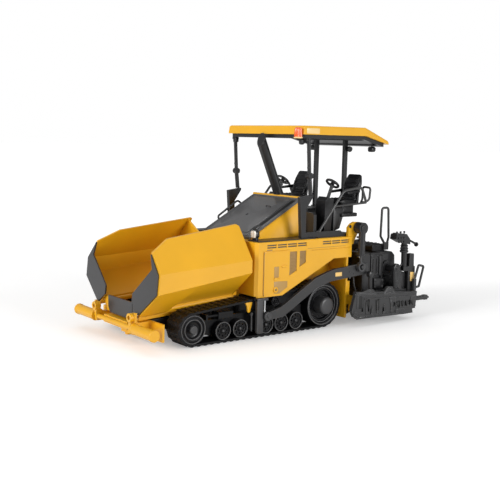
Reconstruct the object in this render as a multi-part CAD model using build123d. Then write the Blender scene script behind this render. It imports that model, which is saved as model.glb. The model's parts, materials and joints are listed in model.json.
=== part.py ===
from build123d import *
import math
import os

# Tracked asphalt paver, a scale model at 1:50. Millimetres, +X forward, +Y to the machine's left, +Z up.
# The exported pieces stand on the floor with the origin under the middle of the overall box.

# Running gear
track_half = 24.5          # outer face of each belt from the middle
belt_width = 8.6
belt_wall = 0.75
shoe_height = 0.35
shoe_length = 1.5
shoe_pitch = 2.9
hopper_front = 64.2
idler_x = hopper_front - 16.5
idler_radius = 5.3
drive_x = -14.1
drive_radius = 8.1
wheelbase = idler_x - drive_x
roller_radius = 0.055 * wheelbase
ROLLER_SHARES = (0.788, 0.662, 0.464, 0.345, 0.225)
ROLLER_X = [drive_x + share * wheelbase for share in ROLLER_SHARES]
carrier_x = drive_x + 0.396 * wheelbase
carrier_radius = 1.9
wheel_disc = 2.8           # width of each of a roller's two discs
wheel_inset = 0.2          # wheel face inside the belt's edge
axle_radius = 0.9
running_gap = 0.1          # radial gap round a shaft or pin
hub_cap_radius = 3.45
hub_cap_proud = 2.8
frame_plate = 1.8          # thickness of the track frame's plate

# Tractor body
body_front = 20.8
body_rear = -28.0
body_half = track_half + 0.7
body_low = 15.3
body_top = 36.0
slant_front = 7.9
slant_rear = -18.4
slant_high = 27.7
core_half = track_half - belt_width - 0.7
belly_low = 5.0
louvre_depth = 0.4
louvre_height = 0.5
vent_depth = 0.3
seam_width = 0.25
seam_depth = 0.2

# Hood and bulkhead
hood_top_x = -8.6
hood_top_z = 50.9
hood_slope = 0.552         # drop for each millimetre forward
hood_half_top = core_half - 0.6
hood_half_low = core_half + 2.4
hood_rim = 0.8             # the yellow hoop behind the cover stands this much above it
cover_wall = 0.9
bulkhead_wall = 1.4
bulkhead_half = 22.4
bulkhead_top = 45.8
bracket_top = 53.1
bracket_wall = 1.7

# Platform, seats and canopy
deck_wall = 1.4
deck_half = body_half - 1.7
skirt_height = 2.5
skirt_wall = 0.8
skirt_front = -5.4
skirt_rear = -23.6
seat_y = deck_half - 7.7
seat_width = 9.0
cushion_z = 48.0
cushion_wall = 2.6
back_height = 9.6
wheel_x = -25.0
wheel_z = 56.8
roof_front = -1.4
roof_bend = -35.0
roof_rear = -48.1
roof_half = deck_half + 0.5
roof_low = 76.15
roof_depth = 3.35
roof_drop = 5.0            # fall of the roof's top from the bend to its rear edge
roof_lip = 1.6             # height of the rear edge
roof_wall = 0.9
post_y = roof_half - 0.5
post_radius = 0.85
post_x = -6.4
post_lean = 0.9            # each of the post's two lengths stands this much further forward at its top
knuckle_z = 60.4
rear_post_x = -38.0
rear_post_y = 8.9
tunnel_half = 5.4
tunnel_top = 46.0
stack_long = 3.5
stack_wide = 4.4

# Hopper
hopper_rear = 22.4
front_lean = 5.0           # degrees that the hopper's front edge leans back
wing_wall = 0.9
hinge_y = 14.3
hinge_front_z = 12.0
hinge_rear_z = 14.7
lip_height = 2.0
lip_above = 1.1            # the lip's top above the hinge line
crease_y = 26.4
low_crease_front_z = 20.4
low_crease_rear_z = 25.4
high_crease_front_z = 27.4
high_crease_rear_z = 30.0
wing_lean = 0.87           # inward run of the upper panel for each millimetre up
wing_front_top = 34.4
wing_bend_x = hopper_front - 9.9
wing_rear_step = 1.1       # the rear edge below the crease stands this much further forward
nose_x = hopper_front - 6.2
wing_bend_top = 38.5
wing_rear_top = 42.2
floor_half = 12.4
hinge_rod = 0.45
hinge_tube = 1.0
floor_wall = 1.2
floor_front_z = 10.4
floor_rear_z = 12.6
flap_wall = 0.6
apron_top = 15.3
apron_low = 9.0
slat_pitch = 3.4
slat_height = 0.5

# Push beam
push_x = hopper_front + 1.8
push_z = 7.0
push_radius = 2.1
push_inner = 13.8
push_outer = 28.2
push_shaft = 0.9
push_cap = 0.15            # the rollers' end rings stand this much proud
lug_y = 13.0
lug_z = 10.9
lug_radius = 1.6
lug_bore = 0.8
lug_length = 2.2
lug_front = hopper_front + 3.3
guard_wall = 0.9           # upright plates in front of the tracks
guard_inner = 9.0
guard_outer = 21.6
guard_low = 2.6
guard_top = 9.0

# Tow point, tow arm, lift cylinder
tow_x = 16.3
tow_z = 8.4
arm_y = body_half + 0.5    # inner face of the tow arm
arm_wall = 1.5
pin_radius = 0.8
column_front = 19.9
column_rear = 18.0
column_low = 2.0
column_wall = 1.3
ear_x = -30.8
ear_z = 39.4
ear_wall = 1.3
lift_y = arm_y + arm_wall + 0.8
lift_radius = 1.4
lift_eye_radius = 2.35
rod_radius = 0.6
rod_eye_radius = 1.9
rod_eye_x = -30.6
rod_eye_z = 23.8
barrel_low = 28.4

# Spreader plate and augers
spreader_x = -25.0
spreader_wall = 0.9
spreader_half = body_half + 0.3
spreader_low = 3.0
auger_x = -29.8
auger_z = 6.6
auger_radius = 3.1
auger_shaft = 0.8
auger_pitch = 4.2
flight_wall = 0.5
auger_half = spreader_half - 0.1

# Screed
screed_low = 2.8
screed_front = -34.2
screed_rear = -46.0
screed_half = 28.4
arm_end = -35.4
screed_top = 13.2
house_front = -38.3
house_rear = -46.4
house_hood_rear = -49.3    # the upper part of a side housing reaches back over the guide tube
house_inner = 14.0
house_outer = arm_y - 0.6
house_top = 28.2
mid_house_top = 27.0
deck_box_rear = -54.0      # the flat box that lies across the housings
deck_box_half = 19.4
deck_box_top = 30.6
walk_rear = -60.0
walk_z = 13.2
walk_wall = 0.8
walk_half = screed_half - 2.4
guide_x = -50.0
guide_z = 21.6
guide_radius = 1.5
sleeve_radius = 3.0
sleeve_outer = house_outer - 0.6
sleeve_inner = 6.0
ext_front = -47.2
ext_rear = -59.4
ext_inner = 0.6
ext_outer = screed_half + 1.2
ext_top = 11.4
ext_travel = 14.0
gate_inner = ext_outer + 0.3
gate_wall = 1.6
gate_front = -23.2
gate_rear = -61.2
gate_front_top = 14.4
gate_rear_top = 11.6
gate_front_low = 4.2
gate_rear_low = 2.5
rear_reach = 69.5
column_back = -61.4         # rear face of the extensions' columns
handle_radius = 0.5
rail_radius = 0.45

PARTS = {}


def keep(name, shape):
    """Store one node's shape under its name."""
    PARTS[name] = shape


def block(x0, x1, y0, y1, z0, z1):
    """A box between two corners."""
    return Pos((x0 + x1) / 2, (y0 + y1) / 2, (z0 + z1) / 2) * Box(abs(x1 - x0), abs(y1 - y0), abs(z1 - z0))


def side_plate(points, y0, y1):
    """An outline of x, z points carried from y0 to y1."""
    wire = Wire.make_polygon([(x, y0, z) for x, z in points])
    return Solid.extrude(Face(wire), Vector(0, y1 - y0, 0))


def cross_plate(points, x0, x1):
    """An outline of y, z points carried from x0 to x1."""
    wire = Wire.make_polygon([(x0, y, z) for y, z in points])
    return Solid.extrude(Face(wire), Vector(x1 - x0, 0, 0))


def disc(x, z, radius, y0, y1):
    """A cylinder along y."""
    low, high = min(y0, y1), max(y0, y1)
    return Solid.make_cylinder(radius, high - low, Plane(origin=(x, low, z), z_dir=(0, 1, 0)))


def along_x(y, z, radius, x0, x1):
    """A cylinder along x."""
    low, high = min(x0, x1), max(x0, x1)
    return Solid.make_cylinder(radius, high - low, Plane(origin=(low, y, z), z_dir=(1, 0, 0)))


def strut(start, end, radius):
    """A round bar between two points."""
    a, b = Vector(*start), Vector(*end)
    return Solid.make_cylinder(radius, (b - a).length, Plane(origin=a, z_dir=b - a))


def rail(points, radius, bend):
    """A round bar along a route with rounded corners."""
    path = FilletPolyline(*points, radius=bend)
    return sweep(Plane(origin=path @ 0, z_dir=path % 0) * Circle(radius), path=path)


def turned(profile, x, z, y):
    """A profile of (distance along y, radius) pairs turned about the y line through x, z."""
    points = [(x, y + along, z + radius) for along, radius in profile]
    face = Face(Wire.make_polygon(points))
    return revolve(face, axis=Axis((x, y, z), (0, 1, 0)))


def right(shape):
    """The right-hand twin of a left-hand piece."""
    return mirror(shape, about=Plane.XZ)


def both(name, shape):
    """Store a left piece and its right twin as two nodes."""
    keep(name + "_left", shape)
    keep(name + "_right", right(shape))


def pair(name, shape):
    """Store a left piece and its right twin as one node."""
    keep(name, Compound(children=[*shape.solids(), *right(shape).solids()]))


def mix(a, b, t):
    """The value t of the way from a to b."""
    return a + (b - a) * t


# Belt loop: two arcs about idler and drive wheel, joined by their outer tangents
tread = belt_wall + shoe_height
idler_z = idler_radius + tread
drive_z = drive_radius + tread
roller_z = roller_radius + tread
belt_inner_y = track_half - belt_width
gauge = track_half - belt_width / 2
centre_tilt = math.atan2(drive_z - idler_z, idler_x - drive_x)
top_tilt = 2 * centre_tilt


def belt_face(grow):
    """The loop's outline at a distance outside the wheels, in the plane of the belt's inner edge."""
    a = idler_radius + grow
    b = drive_radius + grow
    up = (math.sin(top_tilt), math.cos(top_tilt))
    mid = (math.sin(centre_tilt), math.cos(centre_tilt))

    def at(x, z):
        return (x, belt_inner_y, z)

    low_front = at(idler_x, idler_z - a)
    nose = at(idler_x + a * mid[1], idler_z - a * mid[0])
    top_front = at(idler_x + a * up[0], idler_z + a * up[1])
    top_rear = at(drive_x + b * up[0], drive_z + b * up[1])
    tail = at(drive_x - b * mid[1], drive_z + b * mid[0])
    low_rear = at(drive_x, drive_z - b)
    edges = [
        Edge.make_three_point_arc(low_front, nose, top_front),
        Edge.make_line(top_front, top_rear),
        Edge.make_three_point_arc(top_rear, tail, low_rear),
        Edge.make_line(low_rear, low_front),
    ]
    return Face(Wire(edges))


def shoe_places():
    """Points round the belt's outside with the angle of its outward direction, one for each shoe."""
    a = idler_radius + belt_wall
    b = drive_radius + belt_wall
    run = math.hypot(idler_x - drive_x, drive_z - idler_z) * math.cos(math.asin((b - a) / math.hypot(
        idler_x - drive_x, drive_z - idler_z)))
    nose_turn = math.pi - top_tilt
    tail_turn = math.pi + top_tilt
    spans = (run, a * nose_turn, run, b * tail_turn)
    count = round(sum(spans) / shoe_pitch)
    places = []
    for k in range(count):
        s = (k + 0.5) * sum(spans) / count
        if s < spans[0]:
            places.append((drive_x + s, shoe_height, -math.pi / 2))
            continue
        s -= spans[0]
        if s < spans[1]:
            turn = -math.pi / 2 + s / a
            places.append((idler_x + a * math.cos(turn), idler_z + a * math.sin(turn), turn))
            continue
        s -= spans[1]
        turn = math.pi / 2 - top_tilt
        if s < spans[2]:
            x = idler_x + a * math.cos(turn) - s * math.cos(top_tilt)
            z = idler_z + a * math.sin(turn) + s * math.sin(top_tilt)
            places.append((x, z, turn))
            continue
        s -= spans[2]
        turn += s / b
        places.append((drive_x + b * math.cos(turn), drive_z + b * math.sin(turn), turn))
    return places


def track_belt():
    """The belt wall with its shoes as bars across the outside."""
    ring = belt_face(belt_wall) - belt_face(0.0)
    bars = []
    for x, z, turn in shoe_places():
        out = (math.cos(turn), math.sin(turn))
        side = (-out[1], out[0])
        corners = []
        for along, lift in ((-0.5, -0.3), (0.5, -0.3), (0.38, 1.0), (-0.38, 1.0)):
            px = x + side[0] * along * shoe_length + out[0] * lift * shoe_height
            pz = z + side[1] * along * shoe_length + out[1] * lift * shoe_height
            corners.append((px, belt_inner_y, pz))
        bars.append(Face(Wire.make_polygon(corners)))
    outline = ring.fuse(*bars)
    solids = [Solid.extrude(face, Vector(0, belt_width, 0)) for face in outline.faces()]
    return solids[0] if len(solids) == 1 else Part() + solids


both("track", track_belt())

# Wheels: each roller is two discs on a hub, with the frame plate between them
wheel_outer_y = track_half - wheel_inset
wheel_inner_y = belt_inner_y + wheel_inset
disc_in_y = wheel_inner_y + wheel_disc
disc_out_y = wheel_outer_y - wheel_disc


def roller(x, z, radius, proud):
    """A pair of dished discs and their axle; the outer face carries a raised rim and hub."""
    dish = wheel_outer_y - 0.7
    outer = turned(
        [
            (disc_out_y, 0), (disc_out_y, radius), (wheel_outer_y, radius), (wheel_outer_y, radius * 0.84),
            (dish, radius * 0.78), (dish, radius * 0.34), (wheel_outer_y + proud, radius * 0.3),
            (wheel_outer_y + proud, 0),
        ],
        x, z, 0,
    )
    inner = disc(x, z, radius, wheel_inner_y, disc_in_y)
    return outer + inner + disc(x, z, axle_radius, wheel_inner_y, wheel_outer_y - 0.5)


rollers = roller(ROLLER_X[0], roller_z, roller_radius, 0.1)
for place in ROLLER_X[1:]:
    rollers += roller(place, roller_z, roller_radius, 0.1)
carrier_z = idler_z + idler_radius + (idler_x - carrier_x) * math.tan(top_tilt) - carrier_radius - 0.15
rollers += roller(carrier_x, carrier_z, carrier_radius, 0.0)
pair("road_rollers", rollers)


def idler_wheel():
    """Front wheel: stepped rings round a hub."""
    r = idler_radius
    face = wheel_outer_y
    outer = turned(
        [
            (disc_out_y, 0), (disc_out_y, r), (face, r), (face, r * 0.88), (face - 0.5, r * 0.85),
            (face - 0.5, r * 0.74), (face - 0.1, r * 0.72), (face - 0.1, r * 0.62), (face - 0.9, r * 0.56),
            (face - 0.9, r * 0.32), (face + 0.2, r * 0.28), (face + 0.2, 0),
        ],
        idler_x, idler_z, 0,
    )
    inner = disc(idler_x, idler_z, r, wheel_inner_y, disc_in_y)
    return outer + inner + disc(idler_x, idler_z, axle_radius, wheel_inner_y, face - 1.0)


pair("idlers", idler_wheel())


def drive_wheel():
    """Rear wheel: a deep rim, a dished web with bolt recesses and a proud domed cap."""
    r = drive_radius
    face = wheel_outer_y
    cap = face - 2.0
    wheel = turned(
        [
            (wheel_inner_y, 0), (wheel_inner_y, r), (face, r), (face, r * 0.9), (face - 0.7, r * 0.87),
            (face - 0.7, r * 0.8), (face - 1.2, r * 0.72), (face - 2.6, r * 0.7), (face - 2.6, 0),
        ],
        drive_x, drive_z, 0,
    )
    for k in range(8):
        turn = math.radians(45 * k + 22.5)
        bolt_x = drive_x + r * 0.56 * math.cos(turn)
        bolt_z = drive_z + r * 0.56 * math.sin(turn)
        wheel += disc(bolt_x, bolt_z, 0.45, face - 2.7, face - 2.2)
    dome = turned(
        [
            (face - 2.7, 0), (face - 2.7, hub_cap_radius), (face + hub_cap_proud - 0.5, hub_cap_radius),
            (face + hub_cap_proud, hub_cap_radius - 0.7), (face + hub_cap_proud, 0),
        ],
        drive_x, drive_z, 0,
    )
    return wheel + dome


pair("drive_wheels", drive_wheel())


def track_frame():
    """Plate between the roller discs, with the tensioner, carrier bracket and cross beams to the main frame."""
    y0 = gauge - frame_plate / 2
    y1 = gauge + frame_plate / 2
    plate_rear = drive_x + drive_radius + 0.8
    outline = [
        (plate_rear, 4.4), (0.5, 2.4), (ROLLER_X[0] + 2.0, 2.4), (idler_x, idler_z - 2.0),
        (idler_x + 1.8, idler_z - 0.8), (idler_x + 1.8, idler_z + 0.8), (idler_x, idler_z + 2.0),
        (idler_x - 11.2, 8.4), (idler_x - 11.2, 11.6), (idler_x - 18.2, 11.6), (idler_x - 18.2, 9.4),
        (carrier_x + 2.4, 9.4),
        (carrier_x + 1.0, carrier_z + 0.6), (carrier_x - 1.0, carrier_z + 0.6), (carrier_x - 2.6, 9.8),
        (plate_rear, 9.8),
    ]
    frame = side_plate(outline, y0, y1)
    hole = axle_radius + running_gap
    for x in ROLLER_X:
        frame -= disc(x, roller_z, hole, y0 - 1, y1 + 1)
    frame -= disc(idler_x, idler_z, hole, y0 - 1, y1 + 1)
    frame -= disc(carrier_x, carrier_z, hole, y0 - 1, y1 + 1)
    tensioner = block(idler_x - 17.9, idler_x - 11.4, y1, track_half - 0.9, 8.6, 11.5)
    tensioner = fillet(tensioner.edges().filter_by(Axis.X), 0.5)
    rod = along_x(track_half - 1.9, 10.2, 0.55, idler_x - 11.4, idler_x - 6.7)
    end = block(idler_x - 6.9, idler_x - 6.1, y0, track_half - 1.2, 8.9, 10.9)
    lower_beam = block(body_front - 2.1, body_front + 1.9, core_half, y0, 4.2, 9.0)
    upper_beam = block(-3.0, 4.4, core_half, y0, roller_z + roller_radius + 0.4, 9.8)
    return frame + tensioner + rod + end + lower_beam + upper_beam


pair("track_frames", track_frame())

# Main frame under the tractor and hopper, with the final drive housings
belly = side_plate(
    [
        (spreader_x, belly_low), (nose_x - 3.0, belly_low), (nose_x, belly_low + 2.0),
        (nose_x, floor_front_z - floor_wall - 0.2), (hopper_rear - 1.6, floor_rear_z - floor_wall - 0.4),
        (hopper_rear - 1.6, body_low), (spreader_x, body_low),
    ],
    -core_half + 2.6, core_half - 2.6,
)
rear_belly = block(spreader_x, body_front, -core_half, core_half, belly_low + 1.0, body_low)
main_frame = belly + rear_belly
for side in (1, -1):
    main_frame += disc(drive_x, drive_z, 4.2, side * core_half, side * wheel_inner_y)
    main_frame += block(hopper_rear + 1.6, nose_x - 8.0, side * (core_half - 2.6), side * core_half,
                        belly_low + 1.0, 9.0)
keep("main_frame", main_frame)


def belt_top(x):
    """Height of the shoes on the belt's upper run."""
    return idler_z + (idler_radius + tread) / math.cos(top_tilt) + (idler_x - x) * math.tan(top_tilt)


# Tractor core between the side bodies
core = side_plate(
    [
        (body_front, body_low), (spreader_x, body_low), (spreader_x, slant_high), (body_rear, slant_high),
        (body_rear, body_top), (body_front, body_top),
    ],
    -core_half, core_half,
)
keep("tractor_core", core)

# Louvres in two rows: x of the rear end and of the front end, length of one group, gap between groups
LOUVRES = (
    (body_front - 24.6, body_front - 4.6, 4.5, 0.5),
    (body_rear + 1.6, body_rear + 16.0, 4.4, 0.5),
)


def side_body():
    """One side body: slanted underside, rounded corners, louvres, vents and door seams."""
    outline = [
        (body_front, body_low), (slant_front, body_low), (slant_rear, slant_high), (body_rear, slant_high),
        (body_rear, body_top), (body_front, body_top),
    ]
    shell = side_plate(outline, core_half, body_half)
    shell -= side_plate(
        [
            (body_front + 1, 10.0), (body_front + 1, belt_top(body_front + 1) + 0.5),
            (-2.0, belt_top(-2.0) + 0.5), (-2.0, 10.0),
        ],
        core_half - 1, track_half + 0.2,
    )
    corner = [e for e in shell.edges().filter_by(Axis.Z) if e.center().Y > body_half - 0.1]
    shell = chamfer([e for e in corner if e.center().X > 0], 1.1)
    rims = [e for e in shell.edges() if e.center().Z > body_top - 0.1 and e.center().Y > body_half - 0.1]
    shell = fillet(rims, 0.4)
    cut = body_half - louvre_depth
    for start, stop, length, gap in LOUVRES:
        for k in range(round((stop - start) / (length + gap))):
            x0 = start + k * (length + gap)
            for row in (0, 1):
                z0 = body_top - 2.4 + row * (louvre_height + 0.35)
                shell -= block(x0, x0 + length, cut, body_half + 1, z0, z0 + louvre_height)
    vent = body_half - vent_depth
    shell -= side_plate([(4.6, 31.8), (4.6, 22.6), (1.0, 24.3), (1.0, 31.8)], vent, body_half + 1)
    shell -= side_plate([(-0.4, 31.8), (-0.4, 25.6), (-3.6, 27.3), (-3.6, 31.8)], vent, body_half + 1)
    seam = body_half - seam_depth
    shell -= block(17.3, 17.3 + seam_width, seam, body_half + 1, body_low + 0.6, 32.6)
    shell -= block(5.0, 17.3, seam, body_half + 1, 32.4, 32.4 + seam_width)
    shell -= block(body_rear + 1.0, -6.0, seam, body_half + 1, 31.6, 31.6 + seam_width)
    return shell


pair("side_bodies", side_body())


def hood_z(x):
    """Height of the cover's underside at a place along the machine."""
    return hood_top_z - cover_wall - hood_slope * (x - hood_top_x)


hood_front = body_front - 0.6


def hood_section(x, high, half):
    """A closed section of the yellow hood: curved sides under a flat top."""
    low = body_top
    bulge = mix(hood_half_low, half, 0.3)
    mid = mix(low, high, 0.55)
    edges = [
        Edge.make_line((x, hood_half_low, low), (x, -hood_half_low, low)),
        Edge.make_three_point_arc((x, -hood_half_low, low), (x, -bulge, mid), (x, -half, high)),
        Edge.make_line((x, -half, high), (x, half, high)),
        Edge.make_three_point_arc((x, half, high), (x, bulge, mid), (x, hood_half_low, low)),
    ]
    return Wire(edges)


hood_tip = hood_top_x + (hood_top_z - cover_wall - body_top - 0.6) / hood_slope
hood_shell = Solid.make_loft(
    [
        hood_section(hood_top_x, hood_z(hood_top_x), hood_half_top),
        hood_section(hood_tip, hood_z(hood_tip), hood_half_top),
    ],
    ruled=True,
)
hoop_outline = Face(hood_section(hood_top_x - 0.9, hood_top_z + hood_rim, hood_half_top + 0.8))
hood_hoop = Solid.extrude(hoop_outline, Vector(0.9, 0, 0))
keep("hood_sides", hood_shell + hood_hoop)


def hood_cover():
    """Sloping cover plate with clipped rear corners, running down to the hopper's back wall."""
    rear = hood_top_x
    front = min(hood_front, hood_top_x + (hood_top_z - cover_wall - body_top - 0.1) / hood_slope)
    half = hood_half_top + 0.4
    plan = [(rear, half - 0.6), (rear + 0.6, half), (front, half), (front, -half), (rear + 0.6, -half),
            (rear, -half + 0.6)]
    low = body_top + 0.1
    wire = Wire.make_polygon([(x, y, low) for x, y in plan])
    prism = Solid.extrude(Face(wire), Vector(0, 0, hood_top_z - low + 1))
    band = side_plate(
        [
            (rear, hood_z(rear)), (front, hood_z(front)), (front, hood_z(front) + cover_wall),
            (rear, hood_z(rear) + cover_wall),
        ],
        -hood_half_low - 3, hood_half_low + 3,
    )
    return prism & band


keep("hood_cover", hood_cover())

# Hopper's fixed back wall, floor and slat conveyors
back_wall = cross_plate(
    [
        (-core_half + 0.4, floor_rear_z - floor_wall), (core_half - 0.4, floor_rear_z - floor_wall),
        (core_half - 0.4, 34.0),
        (6.0, 35.6), (-6.0, 35.6), (-core_half + 0.4, 34.0),
    ],
    body_front, body_front + 0.9,
)
floor_end = hopper_front - 1.2
floor = side_plate(
    [
        (body_front + 0.9, floor_rear_z - floor_wall), (floor_end, floor_front_z - floor_wall),
        (floor_end, apron_top - 0.6), (floor_end - 0.9, apron_top - 0.6), (floor_end - 0.9, floor_front_z),
        (body_front + 0.9, floor_rear_z),
    ],
    -floor_half, floor_half,
)
divider = side_plate(
    [
        (body_front + 0.9, floor_rear_z), (floor_end - 0.9, floor_front_z), (floor_end - 4.0, floor_front_z + 1.6),
        (body_front + 0.9, floor_rear_z + 3.0),
    ],
    -0.9, 0.9,
)
keep("hopper_floor", floor + divider + back_wall)


def floor_z(x):
    """Height of the hopper floor at a place along the machine."""
    start = body_front + 0.9
    return mix(floor_rear_z, floor_front_z, (x - start) / (floor_end - 0.9 - start))


def conveyor():
    """Two bands of slats lying on the floor, one each side of the divider."""
    start = body_front + 1.6
    stop = floor_end - 3.0
    y0, y1 = 1.6, floor_half - 1.4
    lane = side_plate(
        [
            (start, floor_z(start)), (stop, floor_z(stop)), (stop, floor_z(stop) + 0.4),
            (start, floor_z(start) + 0.4),
        ],
        y0, y1,
    )
    count = int((stop - start - 1.0) / slat_pitch)
    for k in range(count):
        x = start + 1.0 + k * slat_pitch
        lane += side_plate(
            [(x, floor_z(x) + 0.2), (x + 0.8, floor_z(x + 0.8) + 0.2), (x + 0.8, floor_z(x) + 0.4 + slat_height),
             (x, floor_z(x) + 0.4 + slat_height)],
            y0, y1,
        )
    return lane + right(lane)


keep("conveyor", conveyor())

# Hopper wings
lean = math.tan(math.radians(front_lean))
hinge_drop = (hinge_rear_z - hinge_front_z) / (hopper_front - hopper_rear)


def hinge_z(x):
    """Height of the wing's hinge line."""
    return hinge_front_z + (hopper_front - x) * hinge_drop


def wing_section(x, t):
    """Outer and inner outline of a wing; t is 0 at the front and 1 at the rear."""
    lip_top = hinge_z(x) + lip_above
    lip_low = lip_top - lip_height
    y0 = hinge_y + 0.6
    low_crease = mix(low_crease_front_z, low_crease_rear_z, t)
    high_crease = mix(high_crease_front_z, high_crease_rear_z, t)
    top = wing_rear_top + 2.0
    outer = [
        (y0, lip_low), (y0, lip_top), (crease_y, low_crease), (crease_y, high_crease),
        (crease_y - wing_lean * (top - high_crease), top),
    ]
    w = wing_wall
    inner = [
        (y0 - w, lip_low), (y0 - w, lip_top + 0.5 * w), (crease_y - w, low_crease + 0.5 * w),
        (crease_y - w, high_crease - 0.35 * w), (crease_y - w * 1.35 - wing_lean * (top - high_crease), top),
    ]
    points = outer + inner[::-1]
    return Wire.make_polygon([(x, y, z) for y, z in points])


def edge_x(z):
    """Place of the hopper's leaning front edge at a height."""
    return hopper_front - lean * (z - hinge_front_z)


def hinge_bar(radius, x0, x1):
    """A round bar on the hinge line."""
    return strut((x0, hinge_y, hinge_z(x0)), (x1, hinge_y, hinge_z(x1)), radius)


def fold_end(x_high, x_low):
    """Triangle across the front fold: on the low crease, inside the sheet at the lip and at the lip's foot."""
    t = (hopper_front - x_high) / (hopper_front - hopper_rear)
    crease_z = mix(low_crease_front_z, low_crease_rear_z, t)
    foot_y = hinge_y + 0.6
    foot = hinge_z(x_low) + lip_above - lip_height
    points = [
        (x_high, crease_y - 0.02, crease_z), (mix(x_high, x_low, 0.6), foot_y - 0.3, hinge_z(x_low) + lip_above),
        (x_low, foot_y, foot),
    ]
    return Wire.make_polygon(points)


def wing():
    """One wing: a creased sheet cut to its side outline, with a rear gusset and a folded front facet."""
    low_rear = hopper_rear + wing_rear_step
    rear_wire = wing_section(hopper_rear, 1.0)
    front_wire = wing_section(hopper_front + 1.0, -1.0 / (hopper_front - hopper_rear))
    sheet = Solid.make_loft([rear_wire, front_wire], ruled=True)
    outline = [
        (low_rear, hinge_rear_z - 3.0), (edge_x(hinge_front_z - 3), hinge_front_z - 3.0),
        (edge_x(wing_front_top), wing_front_top), (wing_bend_x, wing_bend_top),
        (hopper_rear + 0.9, wing_rear_top), (hopper_rear, wing_rear_top - 0.6), (low_rear, high_crease_rear_z),
    ]
    sheet = sheet & side_plate(outline, 0, crease_y + 5)
    gusset_top = crease_y - wing_lean * (wing_rear_top - 0.6 - high_crease_rear_z) - wing_wall
    fold_rear = fold_end(hopper_front - 18.2, hopper_front - 11.2)
    fold_front = fold_end(hopper_front + 1.0, hopper_front + 1.0)
    fold = Solid.make_loft([fold_rear, fold_front], ruled=True)
    sheet = sheet + (fold & side_plate(outline, 0, crease_y + 5))
    sheet = sheet + hinge_bar(hinge_tube, low_rear, edge_x(hinge_front_z) - 0.05)
    gusset = cross_plate(
        [
            (hinge_y + 0.2, hinge_rear_z + 1.4), (crease_y - 1.2, low_crease_rear_z + 0.5),
            (crease_y - 1.2, high_crease_rear_z - 0.2), (gusset_top, wing_rear_top - 0.9),
            (7.4, 36.6), (7.4, 30.0),
        ],
        low_rear, low_rear + 0.8,
    )
    return sheet + gusset - hinge_bar(hinge_rod + running_gap, hopper_rear - 1, hopper_front + 3)


both("wing", wing())

# Front flaps: y, z corners, riding on the wings, and the centre apron on the floor
flap_half = crease_y - 0.8
flap_corners = [
    (19.9, 33.9), (21.6, 28.9), (9.9, 18.7), (9.9, 15.6), (15.0, 11.9), (flap_half, low_crease_front_z),
    (flap_half, high_crease_front_z),
]
flap = cross_plate(flap_corners, 0, flap_wall)
flap = Pos(hopper_front + 0.05, 0, hinge_front_z) * Rot(0, -front_lean, 0) * Pos(0, 0, -hinge_front_z) * flap
both("wing_flap", flap - hinge_bar(hinge_tube * 0.7, hopper_front - 2, hopper_front + 3))
apron = cross_plate(
    [(-8.8, apron_top), (8.8, apron_top), (8.8, 11.0), (7.4, apron_low), (-7.4, apron_low), (-8.8, 11.0)],
    floor_end, floor_end + 0.7,
)
keep("apron", apron)
rod_end = hopper_front + 1.9
pair("hinge_rods", hinge_bar(hinge_rod, body_front + 0.9, rod_end))


def right_if(side, shape):
    """The shape itself for the left side, its twin for the right."""
    return shape if side > 0 else right(shape)


# Push beam: a carrier under the apron, cheeks with round lugs, guard plates and a shaft for the two rollers
beam = block(nose_x, push_x - 0.4, -guard_inner + 0.4, guard_inner - 0.4, push_z - 1.5, push_z + 1.4)
beam += block(nose_x - 2.0, nose_x + 3.4, -3.0, 3.0, guard_low, push_z - 1.2)
beam += disc(push_x, push_z, push_shaft, -push_outer + 0.7, push_outer - 0.7)
for side in (1, -1):
    beam += block(nose_x, nose_x + guard_wall, side * (guard_inner - 0.6), side * guard_outer, guard_low, guard_top)
    cheek = side_plate(
        [
            (nose_x + 0.2, push_z - 1.6), (push_x + 0.6, push_z - 1.6), (push_x + 1.0, push_z),
            (push_x + 1.0, lug_z - 0.9), (lug_front - lug_length, lug_z - 0.9), (push_x - 2.2, guard_top - 0.2),
            (nose_x + 0.2, guard_top - 0.2),
        ],
        lug_y - 1.1, push_inner - 0.3,
    )
    cheek += along_x(lug_y, lug_z, lug_radius, lug_front - lug_length, lug_front)
    holder = block(lug_front - lug_length, rod_end, lug_y + lug_bore + 0.25, hinge_y + 0.8,
                   push_z + push_radius + 0.4, hinge_front_z + 0.7)
    cheek += holder - hinge_bar(hinge_rod, rod_end - 3, rod_end + 1)
    cheek -= hinge_bar(hinge_rod, rod_end - 3, rod_end)
    cheek -= along_x(lug_y, lug_z, lug_bore, lug_front - lug_length - 1, lug_front + 1)
    beam += right_if(side, cheek)
pivot = Solid.make_cylinder(1.3, 1.4, Plane(origin=(nose_x + 2.0, 0, guard_low - 0.8), z_dir=(0, 0, 1)))
keep("push_beam", beam + pivot)


def push_roller():
    """One roller: a tube with a proud ring at each end, on the beam's shaft."""
    solid = disc(push_x, push_z, push_radius - push_cap, push_inner, push_outer)
    for y0, y1 in ((push_inner, push_inner + 1.0), (push_outer - 1.4, push_outer)):
        ring = disc(push_x, push_z, push_radius, y0, y1)
        solid += fillet(ring.edges().filter_by(GeomType.CIRCLE), 0.25)
    return solid - disc(push_x, push_z, push_shaft + running_gap, push_inner - 1, push_outer - 0.5)


both("push_roller", push_roller())

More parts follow.
